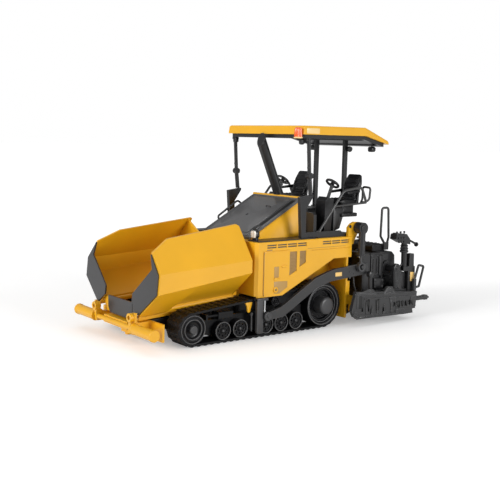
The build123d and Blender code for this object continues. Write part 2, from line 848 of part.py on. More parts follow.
# Bulkhead behind the hood, with a low panel each side and the brackets that carry the front posts
bulk_front = hood_top_x - 0.9
bulk_rear = bulk_front - bulkhead_wall
bulk_low = hood_top_z + hood_rim
bracket_y = deck_half + 0.5
column_x = post_x + 4.4
bulkhead = cross_plate(
    [
        (-bulkhead_half, body_top), (bulkhead_half, body_top), (bulkhead_half, bulkhead_top - 0.8),
        (bulkhead_half - 0.8, bulkhead_top), (hood_half_low, bulkhead_top), (hood_half_top, hood_top_z - 0.6),
        (-hood_half_top, hood_top_z - 0.6), (-hood_half_low, bulkhead_top), (0.8 - bulkhead_half, bulkhead_top),
        (-bulkhead_half, bulkhead_top - 0.8),
    ],
    bulk_rear, bulk_front,
)
bracket = side_plate(
    [
        (column_x, body_top + 0.5), (column_x + 1.1, bracket_top - 0.9), (post_x - 1.0, bracket_top),
        (post_x - 1.0, bracket_top - 0.9), (column_x - 2.1, 47.7), (column_x - 2.1, body_top + 2.6),
        (column_x - 3.4, body_top + 0.5),
    ],
    bracket_y - bracket_wall, bracket_y,
)
tie = block(bulk_rear, column_x - 1.0, bulkhead_half - 0.6, deck_half, body_top + 0.5, body_top + skirt_height)
bulkhead += bracket + right(bracket)
bulkhead += tie + right(tie)
keep("bulkhead", bulkhead)

# Operator platform
deck_top = body_top + deck_wall
deck_front = bulk_rear
platform = block(body_rear, deck_front, -deck_half, deck_half, body_top, deck_top)
skirt = block(skirt_rear, bulk_rear, deck_half - skirt_wall, deck_half, body_top, body_top + skirt_height)
skirt = chamfer(skirt.edges().filter_by(Axis.Y).sort_by(Axis.Z)[2:], 0.5)
platform += skirt + right(skirt)
strip = block(bulk_front + 0.2, body_front - 1.6, hood_half_low + 0.3, body_half - 0.7, body_top, body_top + 0.4)
keep("platform", Compound(children=[*platform.solids(), *strip.solids(), *right(strip).solids()]))

# Centre console between the seats, which carries the rear posts
tunnel = side_plate(
    [
        (-15.0, deck_top), (body_rear, deck_top), (body_rear, 40.6), (rear_post_x - 1.4, 42.8),
        (rear_post_x - 1.4, tunnel_top), (-22.0, tunnel_top), (-15.0, 42.0),
    ],
    -tunnel_half, tunnel_half,
)
tunnel = fillet(tunnel.edges().filter_by(Axis.Y), 0.5)
shelf = block(rear_post_x - 1.4, rear_post_x + 1.4, -rear_post_y - 1.0, rear_post_y + 1.0, 43.4, tunnel_top)
keep("centre_console", tunnel + shelf)


def seat():
    """Seat on its pedestal, with cushion, leaning back and side pads."""
    y0 = seat_y - seat_width / 2
    y1 = seat_y + seat_width / 2
    cushion = block(-35.0, -26.4, y0, y1, cushion_z, cushion_z + cushion_wall)
    cushion = fillet(cushion.edges().filter_by(Axis.Y), 0.9)
    top = cushion_z + cushion_wall - 1.0
    back = side_plate(
        [(-32.8, top), (-34.6, top), (-37.4, top + back_height), (-36.2, top + back_height + 0.4)],
        y0 + 0.4, y1 - 0.4,
    )
    back = fillet(back.edges().filter_by(Axis.Y), 0.45)
    pedestal = side_plate(
        [(-27.0, deck_top), (-27.8, 42.0), (-33.0, 44.0), (-34.4, cushion_z), (-28.0, cushion_z),
         (-24.6, 42.0), (-24.6, deck_top)],
        seat_y - 2.6, seat_y + 2.6,
    )
    return cushion + back + pedestal


pair("seats", seat())


# Section of the steering wheel's rim: outwards from its middle line, up along its axis
WHEEL_RIM = ((-0.36, 0), (-0.18, 0.31), (0.18, 0.31), (0.36, 0), (0.18, -0.31), (-0.18, -0.31))


def control_stand():
    """Pedestal and raked column with the steering wheel in front of a seat."""
    hub_at = Vector(wheel_x, seat_y, wheel_z)
    lean = Vector(-0.6, 0, 0.8)
    column = strut((wheel_x + 4.6, seat_y, deck_top + 8), tuple(hub_at + lean * 0.3), 0.7)
    box = side_plate(
        [
            (wheel_x + 6.4, deck_top), (wheel_x + 2.8, deck_top), (wheel_x + 1.6, 50.6), (wheel_x + 4.6, 51.6),
            (wheel_x + 6.0, 50.0),
        ],
        seat_y - 2.8, seat_y + 2.8,
    )
    side = Vector(0, 1, 0)
    section = [hub_at + side * (2.6 + out) + lean * up for out, up in WHEEL_RIM]
    rim = revolve(Face(Wire.make_polygon(section)), axis=Axis(tuple(hub_at), tuple(lean)))
    spokes = block(wheel_x - 0.25, wheel_x + 0.25, seat_y - 2.5, seat_y + 2.5, wheel_z - 0.25, wheel_z + 0.2)
    hub = Solid.make_cylinder(0.8, 1.3, Plane(origin=hub_at - lean * 0.9, z_dir=lean))
    return column + box + hub + spokes + rim


pair("control_stands", control_stand())


def handrails():
    """Loop beside the seat with its lower rail, and the hoop behind the seat's outer edge."""
    y = deck_half - skirt_wall / 2
    foot = body_top + skirt_height
    turn_in = y - 3.2
    loop = rail(
        [(-11.6, y, foot), (-24.5, y, 54.2), (-34.4, y, 55.6), (-37.4, y, 49.2), (-37.4, turn_in, 49.2)],
        rail_radius, 1.4,
    )
    lower = strut((-19.6, y, 48.1), (-37.2, y, 49.2), rail_radius * 0.9)
    hoop = rail(
        [
            (-37.2, turn_in + 0.3, 49.2), (-39.9, y - 4.8, 50.4), (-39.9, y - 4.8, 55.4), (-39.9, y - 0.4, 55.2),
            (-39.6, y - 0.6, 50.2), (-37.2, y - 0.9, 49.2),
        ],
        rail_radius * 0.9, 0.9,
    )
    return loop + lower + hoop - block(-20, -5, y - 3, y + 3, foot - 2, foot)


pair("handrails", handrails())

# Canopy: roof shell, black liner beneath it, posts
roof_top = roof_low + roof_depth
rear_top = roof_top - roof_drop
rear_low = rear_top - roof_lip
roof = side_plate(
    [
        (roof_front, roof_low), (roof_front - 0.5, roof_top), (roof_bend, roof_top), (roof_rear + 0.2, rear_top),
        (roof_rear, rear_low), (roof_bend, roof_low),
    ],
    -roof_half, roof_half,
)
roof_edges = [e for e in roof.edges() if e.center().Z > roof_low + 0.5]
top_edges = [e for e in roof.edges() if abs(e.center().Z - roof_top) < 0.05 or abs(
    e.center().Z - (roof_top + rear_top) / 2) < 0.05]
roof = fillet([e for e in top_edges if abs(e.center().Y) > 1 or e.center().X > roof_front - 1], 0.9)
hollow = side_plate(
    [
        (roof_front - roof_wall, roof_low - 3), (roof_front - roof_wall - 0.4, roof_top - roof_wall),
        (roof_bend - 0.1, roof_top - roof_wall), (roof_rear + 1.4, rear_top - roof_wall + 0.2),
        (roof_rear + 1.4, rear_low - 3),
    ],
    -roof_half + roof_wall, roof_half - roof_wall,
)
keep("canopy_roof", roof - hollow)

liner_inset = roof_wall + 0.05
liner_drop = 1.5
liner = side_plate(
    [
        (roof_front - 1.4, roof_low - liner_drop), (roof_front - 1.4, roof_low + 0.4), (roof_bend, roof_low + 0.4),
        (roof_rear + 2.0, rear_low + 0.4), (roof_rear + 2.0, rear_low - 1.0), (roof_bend, roof_low - liner_drop),
    ],
    -roof_half + liner_inset, roof_half - liner_inset,
)
liner -= side_plate(
    [
        (roof_front - 3.2, roof_low - 2.0), (roof_front - 3.2, roof_low - 0.4), (roof_bend, roof_low - 0.4),
        (roof_rear + 3.6, rear_low - 0.2), (roof_rear + 3.6, rear_low - 3.0),
    ],
    -roof_half + 2.6, roof_half - 2.6,
)
liner += block(rear_post_x - 1.0, rear_post_x + 1.0, -roof_half + 2.6, roof_half - 2.6, roof_low - 1.9,
               roof_low - 0.6)
beacon_x = roof_front + 2.0
beacon_y = roof_half - 0.6
beacon_low = roof_low - 0.9
liner += block(roof_front - 1.5, beacon_x + 1.2, beacon_y - 1.9, beacon_y - 0.5, roof_low - 1.5, beacon_low)
keep("canopy_liner", liner)


def front_post():
    """Corner post: a lower length on the bulkhead's bracket, a knuckle and the leaning upper length."""
    foot = bracket_top
    top = roof_low - liner_drop
    knee = post_x + post_lean
    post = strut((post_x - 0.1, post_y, foot - 1), (knee, post_y, knuckle_z), post_radius)
    post += strut((knee, post_y, knuckle_z), (knee + post_lean, post_y, top + 0.3), post_radius * 0.9)
    post += disc(knee, knuckle_z, post_radius * 1.4, post_y - 1.1, post_y + 1.1)
    post += block(knee - 0.2, knee + 2.2, post_y - 1.0, post_y + 0.3, top - 0.9, top)
    return post - block(post_x - 4, post_x + 4, post_y - 2, post_y + 2, top, top + 2) - block(
        post_x - 5, post_x + 4, post_y - 2, post_y + 2, foot - 2, foot)


def rear_post():
    """Upright from the console's shelf to the liner's cross bar."""
    return block(rear_post_x - 0.9, rear_post_x + 0.9, rear_post_y - 0.7, rear_post_y + 0.7, tunnel_top,
                 roof_low - 1.9)


pair("canopy_posts", Compound(children=[*front_post().solids(), *rear_post().solids()]))


def stack():
    """Flattened duct leaning forward from behind the hood to the roof's front edge, with a steep mouth."""
    foot = Vector(bulk_front - 0.4, 0, bulk_low)
    head = Vector(roof_front + 2.7, 0, roof_low + 0.4)
    axis = head - foot
    plane = Plane(origin=foot - axis.normalized() * 3, z_dir=axis, x_dir=(0, 1, 0))
    tube = extrude(plane * SlotOverall(stack_wide, stack_long), amount=axis.length + 6)
    mouth = Plane(origin=head - Vector(1.2, 0, 2.7), z_dir=(0.96, 0, 0.27))
    tube = split(tube, bisect_by=mouth, keep=Keep.BOTTOM)
    return tube & block(-30, 30, -6, 6, bulk_low, 90)


keep("stack", stack())

# Beacon and work lamps
beacon = Solid.make_cylinder(1.3, 3.5, Plane(origin=(beacon_x, beacon_y - 1.0, beacon_low), z_dir=(0, 0, 1)))
beacon = fillet(beacon.edges().filter_by(GeomType.CIRCLE).sort_by(Axis.Z)[-1], 0.4)
beacon += Solid.make_cylinder(1.75, 0.8, Plane(origin=(beacon_x, beacon_y - 1.0, beacon_low), z_dir=(0, 0, 1)))
keep("beacon", beacon)


def lamp(x, y, z, half_wide, half_high, depth):
    """A rounded lamp case on a stalk, its face towards +x at x."""
    case = block(x - depth, x, y - half_wide, y + half_wide, z - half_high, z + half_high)
    case = fillet(case.edges().filter_by(Axis.X), half_high * 0.5)
    return case + block(x - depth * 0.7, x - depth * 0.3, y - 0.6, y + 0.6, body_top + 0.4, z)


front_lamp = lamp(18.4, 20.0, body_top + 2.4, 1.6, 1.3, 1.7)
roof_lamps = []
roof_lamps.append(block(-3.9, -2.2, post_y - 3.4, post_y - 1.2, roof_low - liner_drop - 2.5, roof_low - liner_drop))
for side in (1, -1):
    roof_lamps.append(block(roof_rear + 2.6, roof_rear + 5.2, side * 17.0, side * 19.6,
                            rear_low - 3.2, rear_low - 1.02))
keep("lamps", Compound(children=[*front_lamp.solids(), *right(front_lamp).solids()] + [
    solid for piece in roof_lamps for solid in piece.solids()]))


# Tow columns beside the tracks, with the height rod
def tow_column():
    """Flat upright hung from the side body's underside, and the rod that sets the tow point's height."""
    y0 = arm_y - 0.2
    y1 = y0 + column_wall
    column = block(column_rear, column_front, y0, y1, column_low, body_low)
    column = chamfer(column.edges().filter_by(Axis.Y).sort_by(Axis.Z)[:2], 0.5)
    head = block(column_rear - 2.0, column_front, track_half + 0.25, y1, body_low - 0.9, body_low)
    rod = strut((tow_x + 0.5, y0 + 0.8, tow_z + 2.0), (tow_x + 0.5, y0 + 0.8, body_low - 0.6), 0.42)
    return column + head + rod


# Spreader plate behind the drive wheels
plate = block(spreader_x - spreader_wall, spreader_x, -spreader_half, spreader_half, spreader_low, slant_high)
for side in (1, -1):
    ridge = block(spreader_x - 2.2, spreader_x - spreader_wall, side * 25.0, side * spreader_half, 12.0, 18.0)
    plate += ridge
for y0, y1 in ((-0.6, 0.6), (24.0, 24.8), (-24.8, -24.0)):
    plate += side_plate(
        [
            (spreader_x - spreader_wall, auger_z + 1.6), (spreader_x - spreader_wall, auger_z + 6.0),
            (auger_x - 1.5, auger_z + 4.6), (auger_x - 1.5, auger_z - 1.5), (auger_x + 1.5, auger_z - 1.5),
            (auger_x + 1.5, auger_z + 1.6),
        ],
        y0, y1,
    )
plate -= disc(auger_x, auger_z, auger_shaft + running_gap, -spreader_half, spreader_half)
keep("spreader_plate", plate)

# Augers: shaft with half-turn flights, left and right hand, between bearing plates
gear_half = 1.6


def flight(y, hand, half):
    """A tilted half disc; the next half is tilted the other way, so that pairs make one turn."""
    ring = Solid.make_cylinder(auger_radius, flight_wall, Plane(origin=(0, -flight_wall / 2, 0),
                                                                    z_dir=(0, 1, 0)))
    ring = ring & (Pos(0, 0, half * auger_radius) * Box(4 * auger_radius, 2 * auger_radius, 2 * auger_radius))
    tilt = math.degrees(math.atan2(auger_pitch / 4, auger_radius))
    return Pos(auger_x, y, auger_z) * Rot(0, 0, half * hand * tilt) * ring


def auger():
    """The whole rotor."""
    rotor = disc(auger_x, auger_z, auger_shaft, -auger_half, auger_half)
    count = int((23.6 - gear_half - auger_pitch / 2) / (auger_pitch / 2))
    for side in (1, -1):
        for k in range(count):
            y = side * (gear_half + auger_pitch / 2 + k * auger_pitch / 2)
            rotor += flight(y, side, 1 if k % 2 == 0 else -1)
    return rotor


keep("auger", auger())
# Ears on the body's rear corners, which hold the lift cylinders
ear_y1 = body_half - 0.2
ear = side_plate(
    [
        (body_rear, 32.8), (body_rear + 2.0, 35.6), (body_rear + 2.0, 39.6), (body_rear + 0.6, 41.0),
        (ear_x + 1.6, ear_z + 2.4), (ear_x - 1.6, ear_z + 2.2), (ear_x - 1.9, ear_z), (body_rear - 1.6, 34.4),
        (body_rear - 1.0, 32.8),
    ],
    ear_y1 - ear_wall, ear_y1,
)
ear -= block(body_rear, 0, ear_y1 - 3, ear_y1 + 1, 30, body_top)
ear += disc(ear_x, ear_z, pin_radius, ear_y1 - ear_wall, lift_y + 1.1)
pair("lift_ears", ear)


def lift_barrel():
    """Cylinder barrel with its upper eye."""
    eye_y0 = ear_y1 + 0.3
    eye_y1 = lift_y + 0.9
    a = Vector(ear_x, lift_y, ear_z)
    b = Vector(rod_eye_x, lift_y, rod_eye_z)
    along = (b - a).normalized()
    reach = (ear_z - barrel_low) / -along.Z
    tube = Solid.make_cylinder(lift_radius, reach, Plane(origin=a, z_dir=along))
    eye = disc(ear_x, ear_z, lift_eye_radius, eye_y0, eye_y1)
    barrel = tube + eye
    barrel -= disc(ear_x, ear_z, pin_radius + running_gap, eye_y0 - 1, eye_y1 + 1)
    bore_start = a + along * (reach - 8.0)
    bore = Solid.make_cylinder(rod_radius + running_gap, 9.0, Plane(origin=bore_start,
                                                                          z_dir=along))
    return barrel - bore


def lift_rod():
    """Rod with its lower eye, beside the tow arm."""
    a = Vector(ear_x, lift_y, ear_z)
    b = Vector(rod_eye_x, lift_y, rod_eye_z)
    along = (b - a).normalized()
    top = b - along * 8.6
    rod = Solid.make_cylinder(rod_radius, 8.6, Plane(origin=top, z_dir=along))
    rod += disc(rod_eye_x, rod_eye_z, rod_eye_radius, arm_y + arm_wall + 0.2, lift_y + 0.9)
    return rod - disc(rod_eye_x, rod_eye_z, pin_radius + 0.35, arm_y, lift_y + 3)


both("lift_barrel", lift_barrel())
both("lift_rod", lift_rod())


# Tow arm: pivot end, bent plate, rear bracket
def tow_arm():
    """Bent arm in side view with the rod's pin."""
    y0, y1 = arm_y, arm_y + arm_wall
    outline = [
        (tow_x - 0.6, tow_z + 1.4), (tow_x - 2.6, tow_z + 1.9), (9.8, 11.2), (-7.3, 20.9), (-13.4, 22.7),
        (-17.6, 23.7), (-28.8, 24.4), (arm_end, 24.8), (arm_end, 20.6), (-25.3, 19.8), (-15.3, 19.0),
        (-7.5, 16.8), (5.6, 9.2), (9.0, 7.4), (tow_x - 1.0, tow_z - 1.4),
    ]
    arm = side_plate(outline, y0, y1)
    arm += disc(tow_x, tow_z, 1.5, y0, y1)
    arm += disc(rod_eye_x, rod_eye_z, pin_radius - 0.1, y1, lift_y + 1.4)
    return arm - disc(tow_x, tow_z, pin_radius + running_gap, y0 - 1, y1 + 1)


pair("tow_arms", tow_arm())

# Tow pins seat in the columns' stubs
tow_pin = disc(tow_x, tow_z, pin_radius, arm_y - 0.9, arm_y + arm_wall + 0.7)
tow_link = side_plate(
    [
        (tow_x - 1.4, tow_z - 1.3), (tow_x - 1.4, tow_z + 2.2), (column_rear + 1.6, tow_z + 2.2),
        (column_rear + 1.6, tow_z - 1.3),
    ],
    arm_y - 1.0, arm_y - 0.2,
)
tow_link += side_plate(
    [
        (tow_x - 1.4, tow_z - 1.3), (tow_x - 1.4, tow_z + 2.2), (column_rear + 1.6, tow_z + 2.2),
        (column_rear + 1.6, tow_z - 1.3),
    ],
    arm_y + arm_wall + 0.2, arm_y + arm_wall + 1.0,
)
tow_link += block(column_rear, column_rear + 1.6, arm_y + 0.6, arm_y + arm_wall + 0.6, tow_z - 1.3, tow_z + 2.2)
pair("tow_columns", tow_column() + tow_pin + tow_link)


def guide_sleeve():
    """Large tube that guides the extension's tube, carried off the housings."""
    sleeve = disc(guide_x, guide_z, sleeve_radius, sleeve_inner, sleeve_outer)
    arm = block(guide_x, house_rear, sleeve_inner + 2, sleeve_outer - 2, guide_z - 1.6, guide_z + 1.6)
    sleeve += arm
    return sleeve - disc(guide_x, guide_z, guide_radius + 0.15, sleeve_inner - 1, sleeve_outer + 1)


# Screed main frame: full-width beam with a slanted front and sole plate
screed = side_plate(
    [
        (screed_front, 7.0), (screed_front - 1.2, screed_low), (screed_rear, screed_low), (screed_rear, screed_top),
        (screed_front - 1.6, screed_top), (screed_front - 1.0, 9.0),
    ],
    -screed_half, screed_half,
)
for side in (1, -1):
    shoulder = block(house_front + 0.1, arm_end + 1.4, house_outer - 1.2, arm_y, screed_top - 1, house_top)
    screed += right_if(side, fillet(shoulder.edges().filter_by(Axis.Y).sort_by(Axis.Z)[2:], 0.8))
    screed += right_if(side, guide_sleeve())
keep("screed_frame", screed)


def screed_house():
    """Side housing on the screed: upright box with a top that reaches back, and a lid line."""
    house = side_plate(
        [
            (house_front, screed_top), (house_front, house_top), (house_hood_rear, house_top - 0.6),
            (house_hood_rear, guide_z + sleeve_radius + 0.5), (house_rear, guide_z + sleeve_radius + 0.3),
            (house_rear, 19.2), (house_rear + 0.6, screed_top),
        ],
        house_inner, house_outer,
    )
    house = fillet(house.edges().filter_by(Axis.Y).sort_by(Axis.Z)[-2:], 0.5)
    house -= block(house_rear - 5, house_front + 1, house_outer - 0.2, house_outer + 1, 25.6, 25.9)
    step = block(house_front - 3.6, house_rear + 0.8, house_outer - 0.8, house_outer + 1, screed_top, 19.2)
    return house - step


mid_house = block(house_rear, house_front + 1.6, -house_inner + 0.1, house_inner - 0.1, screed_top, mid_house_top)
deck_box = block(deck_box_rear, house_rear + 0.6, -deck_box_half, deck_box_half, house_top + 0.1, deck_box_top)
deck_box = chamfer(deck_box.edges().filter_by(Axis.Y).sort_by(Axis.Z)[2:], 0.5)
mid_house += deck_box + block(house_rear - 1.0, house_rear + 0.6, -9.0, 9.0, mid_house_top - 2.0, house_top + 0.6)
house = screed_house()
keep("screed_houses", Compound(children=[*house.solids(), *right(house).solids(), *mid_house.solids()]))

walkway = block(walk_rear, screed_rear, -walk_half, walk_half, walk_z - 1.2, walk_z + walk_wall - 1.2)
keep("screed_walkway", walkway)


# Screed extensions with their end gates, consoles and handles
def extension():
    """Extension box behind the main screed, end strap, guide tube, column and console shelf."""
    box = side_plate(
        [
            (ext_front, screed_low), (ext_rear, screed_low), (ext_rear, 8.0), (ext_rear + 2.0, ext_top),
            (ext_front, ext_top),
        ],
        ext_inner, ext_outer,
    )
    wall = side_plate(
        [
            (guide_x + 0.8, ext_top), (guide_x + 1.6, guide_z + 0.4), (guide_x + 0.8, guide_z + 1.8),
            (guide_x - 0.4, guide_z + 2.3), (guide_x - 1.6, guide_z + 1.8), (guide_x - 2.6, guide_z - 0.6),
            (guide_x - 3.2, ext_top + 4.0), (guide_x - 4.0, ext_top),
        ],
        ext_outer - 1.3, ext_outer,
    )
    tube = disc(guide_x, guide_z, guide_radius, sleeve_inner - 2.0, ext_outer - 1.3)
    column = side_plate(
        [
            (column_back + 3.8, 8.0), (column_back + 4.2, 22.3), (column_back + 3.6, 22.3),
            (column_back + 3.4, 27.5),
            (column_back + 0.9, 27.5), (column_back + 0.7, 22.3), (column_back, 22.0), (column_back - 0.4, 8.0),
        ],
        ext_outer - 2.4, ext_outer,
    )
    shelf = block(column_back + 3.8, column_back + 7.0, ext_outer - 2.6, ext_outer, 20.4, 22.2)
    return box + wall + tube + column + shelf


both("extension", extension())


def gate_low(x):
    """Height of the end gate's lower edge."""
    return mix(gate_front_low, gate_rear_low, (gate_front - 1.5 - x) / (gate_front - 1.5 - gate_rear - 7.7))


# Recesses in the end gate's face: distance behind its nose, width, low and high edge
GATE_SLOTS = (
    (5.0, 1.5, 6.0, 12.6), (8.9, 0.9, 5.6, 10.8), (13.6, 1.9, 5.6, 10.4), (17.4, 0.8, 4.6, 6.8),
    (23.4, 1.7, 6.4, 9.4), (26.6, 1.3, 5.6, 8.6), (28.7, 1.0, 6.2, 8.4), (30.7, 1.0, 6.0, 8.2),
    (33.0, 1.4, 6.2, 8.4),
)


def end_gate():
    """Long end plate with a raked nose, a stepped tail, recesses and the skid bar along its foot."""
    y0, y1 = gate_inner, gate_inner + gate_wall
    plate = side_plate(
        [
            (gate_front - 1.5, gate_front_low), (gate_front, gate_front_low + 2.4),
            (gate_front - 2.1, gate_front_top),
            (gate_rear - 0.1, gate_rear_top), (gate_rear + 0.4, 6.4), (gate_rear + 0.3, 5.1),
            (gate_rear + 2.7, 5.1), (gate_rear + 2.0, gate_rear_low + 0.1), (gate_rear + 7.7, gate_rear_low),
        ],
        y0, y1,
    )
    for back, width, z0, z1 in GATE_SLOTS:
        plate -= block(gate_front - back - width, gate_front - back, y1 - 0.7, y1 + 1, z0, z1)
    front_x, rear_x = gate_front - 1.9, gate_rear + 7.9
    skid = side_plate(
        [
            (front_x, gate_low(front_x) + 0.2), (front_x, gate_low(front_x) + 1.0), (rear_x, gate_low(rear_x) + 1.0),
            (rear_x, gate_low(rear_x) + 0.2),
        ],
        y1 - 0.3, y1 + 0.45,
    )
    skid = chamfer([e for e in skid.edges() if e.center().Y > y1 + 0.4 and e.length > 5], 0.25)
    return plate + skid + disc(front_x, gate_front_low + 1.3, 0.9, y1 - 0.2, y1 + 0.3)


def side_console():
    """Console on its thick leaning pole, on the shelf in front of the extension's column."""
    y = ext_outer - 1.3
    head_x = column_back + 11.4
    pole = strut((column_back + 5.5, y, 21.4), (column_back + 5.9, y, 32.6), 1.2)
    head = side_plate(
        [
            (head_x + 1.4, 34.2), (head_x + 0.9, 36.3), (head_x - 5.0, 36.1), (head_x - 7.0, 34.0),
            (head_x - 7.4, 31.6), (head_x - 2.6, 32.4),
        ],
        y - 1.8, y + 1.8,
    )
    lever = strut((head_x - 6.4, y + 0.4, 34.0), (head_x - 12.8, y + 0.4, 31.2), 0.45)
    return pole + head + lever - block(head_x - 9, head_x, y - 3, y + 3, 19.0, 22.2)


both("side_console", side_console())


def rear_handles():
    """Slanted grab loop and adjusting crank at the end gate's rear."""
    y = gate_inner + gate_wall / 2
    post = block(gate_rear + 0.3, gate_rear + 1.7, y - 0.55, y + 0.55, gate_rear_top - 0.8, 16.9)
    loop = rail(
        [
            (gate_rear + 1.0, y, 13.1), (gate_rear - 1.9, y, 13.4), (gate_rear - 4.4, y, 21.9),
            (gate_rear - 1.2, y, 22.6), (gate_rear + 1.0, y, 16.2),
        ],
        handle_radius, 0.55,
    )
    crank = along_x(y, 8.4, 1.0, 2.2 - rear_reach, gate_rear + 1.2)
    crank += block(1.4 - rear_reach, 3.4 - rear_reach, y - 0.9, y + 0.9, 7.4, 9.4)
    return post + loop + crank + along_x(y, 8.2, 0.45, -rear_reach, 2.4 - rear_reach)


both("end_gate", end_gate() + rear_handles())


def grab_loop():
    """Tall teardrop grab loop on a foot beside the flat box's end."""
    y = deck_box_half + 0.5
    x = deck_box_rear
    low = deck_box_top + 0.4
    loop = rail(
        [
            (x + 1.5, y, low), (x + 4.1, y, low + 3.4), (x + 3.8, y, 46.4), (x, y, 46.4),
            (x - 0.8, y, low + 2.8), (x + 0.1, y, low),
        ],
        handle_radius, 1.2,
    )
    return loop + block(x - 0.5, x + 2.1, y - 0.45, y + 0.5, house_top + 0.3, low + 0.7)


pair("grab_loops", grab_loop())

# The drawing is laid out from the drive wheels; the export centres the overall box over the origin
centre_shift = (rear_reach - push_x - push_radius) / 2
os.makedirs("parts", exist_ok=True)
for name, shape in PARTS.items():
    solids = [Pos(centre_shift, 0, 0) * solid for solid in shape.solids()]
    whole = solids[0] if len(solids) == 1 else Compound(children=solids)
    export_step(whole, os.path.join("parts", name + ".step"))
print(len(PARTS), "nodes")
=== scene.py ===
# %% [markdown]
# A tracked paver at 1:50
# The CAD model gives every rigid piece its place and size. This script dresses it: it looks at it with the
# photograph's camera, lights it softly, gives each piece its finish and adds the small surfaces that make a
# die-cast model read as a real machine. New pieces are drawn in millimetres from the drive wheels' line, as
# on the drawing, and one helper turns them into the metres of the frame.

# %% Load the frame
import json
import math
import bmesh
import bpy
import numpy as np
from mathutils import Matrix, Vector


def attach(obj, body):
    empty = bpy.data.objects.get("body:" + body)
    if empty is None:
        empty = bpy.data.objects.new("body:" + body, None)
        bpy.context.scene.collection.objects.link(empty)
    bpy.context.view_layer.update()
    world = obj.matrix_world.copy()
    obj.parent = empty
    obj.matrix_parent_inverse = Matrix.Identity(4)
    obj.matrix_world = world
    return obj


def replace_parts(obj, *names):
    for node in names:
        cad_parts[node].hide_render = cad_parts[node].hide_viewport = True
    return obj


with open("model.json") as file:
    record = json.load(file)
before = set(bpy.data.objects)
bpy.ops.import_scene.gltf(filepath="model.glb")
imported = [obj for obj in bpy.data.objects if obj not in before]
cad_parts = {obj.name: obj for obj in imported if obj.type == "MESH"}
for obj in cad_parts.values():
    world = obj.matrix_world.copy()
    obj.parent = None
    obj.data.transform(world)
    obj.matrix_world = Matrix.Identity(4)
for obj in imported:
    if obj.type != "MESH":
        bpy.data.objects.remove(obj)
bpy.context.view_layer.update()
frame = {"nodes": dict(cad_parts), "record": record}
NODES = frame["nodes"]
MM = 0.001
DRIVE_LINE_X = 0.7

# %% [markdown]
# The camera stands to the machine's front left, a little above the hood. Its place, its three turns and its
# focal length in pixels were worked out from the model's own edges in the photograph, so that no shift is
# needed.

# %% Camera
CAMERA_PLACE = Vector((0.2155, 0.2717, 0.0740))
CAMERA_YAW = math.radians(37.76)
CAMERA_PITCH = math.radians(7.375)
CAMERA_ROLL = math.radians(1.3125)
FOCAL_PIXELS = 858.5
FRAME_PIXELS = 500
SENSOR_MM = 36.0


def camera_turn(yaw, pitch, roll):
    """Rotation whose columns are the camera's right, up and backward directions."""
    ahead = Vector((
        -math.sin(yaw) * math.cos(pitch), -math.cos(yaw) * math.cos(pitch), -math.sin(pitch),
    ))
    level_right = Vector((-math.cos(yaw), math.sin(yaw), 0.0))
    level_up = level_right.cross(ahead)
    across = math.cos(roll) * level_right + math.sin(roll) * level_up
    return Matrix((across, across.cross(ahead), -ahead)).transposed()


camera_data = bpy.data.cameras.new("camera")
camera_data.sensor_width = SENSOR_MM
camera_data.lens = FOCAL_PIXELS / FRAME_PIXELS * SENSOR_MM
camera_data.clip_start = 0.01
camera = bpy.data.objects.new("camera", camera_data)
camera.matrix_world = Matrix.Translation(CAMERA_PLACE) @ camera_turn(
    CAMERA_YAW, CAMERA_PITCH, CAMERA_ROLL).to_4x4()
bpy.context.scene.collection.objects.link(camera)
bpy.context.scene.camera = camera
bpy.context.scene.view_settings.view_transform = "Standard"
print("lens", round(camera_data.lens, 2), "mm")

# %% [markdown]
# Shader nodes. A material is a small network: nodes with inputs, and wires between them. One function makes
# a node with its inputs set, and another draws all the wires of a network, so that each network reads as a
# list.

# %% Shader nodes


def set_inputs(node, **values):
    """Sets inputs by name; Base_Color stands for the input Base Color."""
    for name, value in values.items():
        node.inputs[name.replace("_", " ")].default_value = value


def shader_node(tree, kind, **values):
    """A new node of a kind, with its inputs set."""
    node = tree.nodes.new("ShaderNode" + kind)
    set_inputs(node, **values)
    return node


def wire(tree, *wires):
    """Each wire is the giving node, its output, the taking node and its input."""
    for giver, output, taker, entry in wires:
        tree.links.new(giver.outputs[output], taker.inputs[entry])


def node_material(name):
    """An empty material with its node tree and its main shader."""
    material = bpy.data.materials.new(name)
    material.use_nodes = True
    return material, material.node_tree, material.node_tree.nodes["Principled BSDF"]


print("node helpers are ready")

# %% [markdown]
# The model stands on a sheet of white paper that runs on to the horizon. Near lamps would leave the far
# paper grey, so the light will come from three wide suns, which are equally strong everywhere, and from a
# pale surround. The camera sees the paper a little lighter than it is, so that it meets the white surround
# with no line, and the model's shadow stays on it.

# %% Floor
FLOOR_SIZE = 12.0
FLOOR_LIFT = 0.27
WHITE = (1, 1, 1, 1)


def floor_material():
    """White paper: a diffuse sheet with a faint glow that only the camera sees."""
    material, tree, shader = node_material("table_white")
    set_inputs(shader, Base_Color=(0.9, 0.9, 0.9, 1), Roughness=0.9, Specular_IOR_Level=0.05)
    glow = shader_node(tree, "Emission", Color=WHITE)
    lift = shader_node(tree, "Math")
    lift.operation = "MULTIPLY"
    lift.inputs[1].default_value = FLOOR_LIFT
    path, add = shader_node(tree, "LightPath"), shader_node(tree, "AddShader")
    wire(tree,
         (path, "Is Camera Ray", lift, 0), (lift, "Value", glow, "Strength"), (shader, "BSDF", add, 0),
         (glow, "Emission", add, 1), (add, "Shader", tree.nodes["Material Output"], "Surface"))
    return material


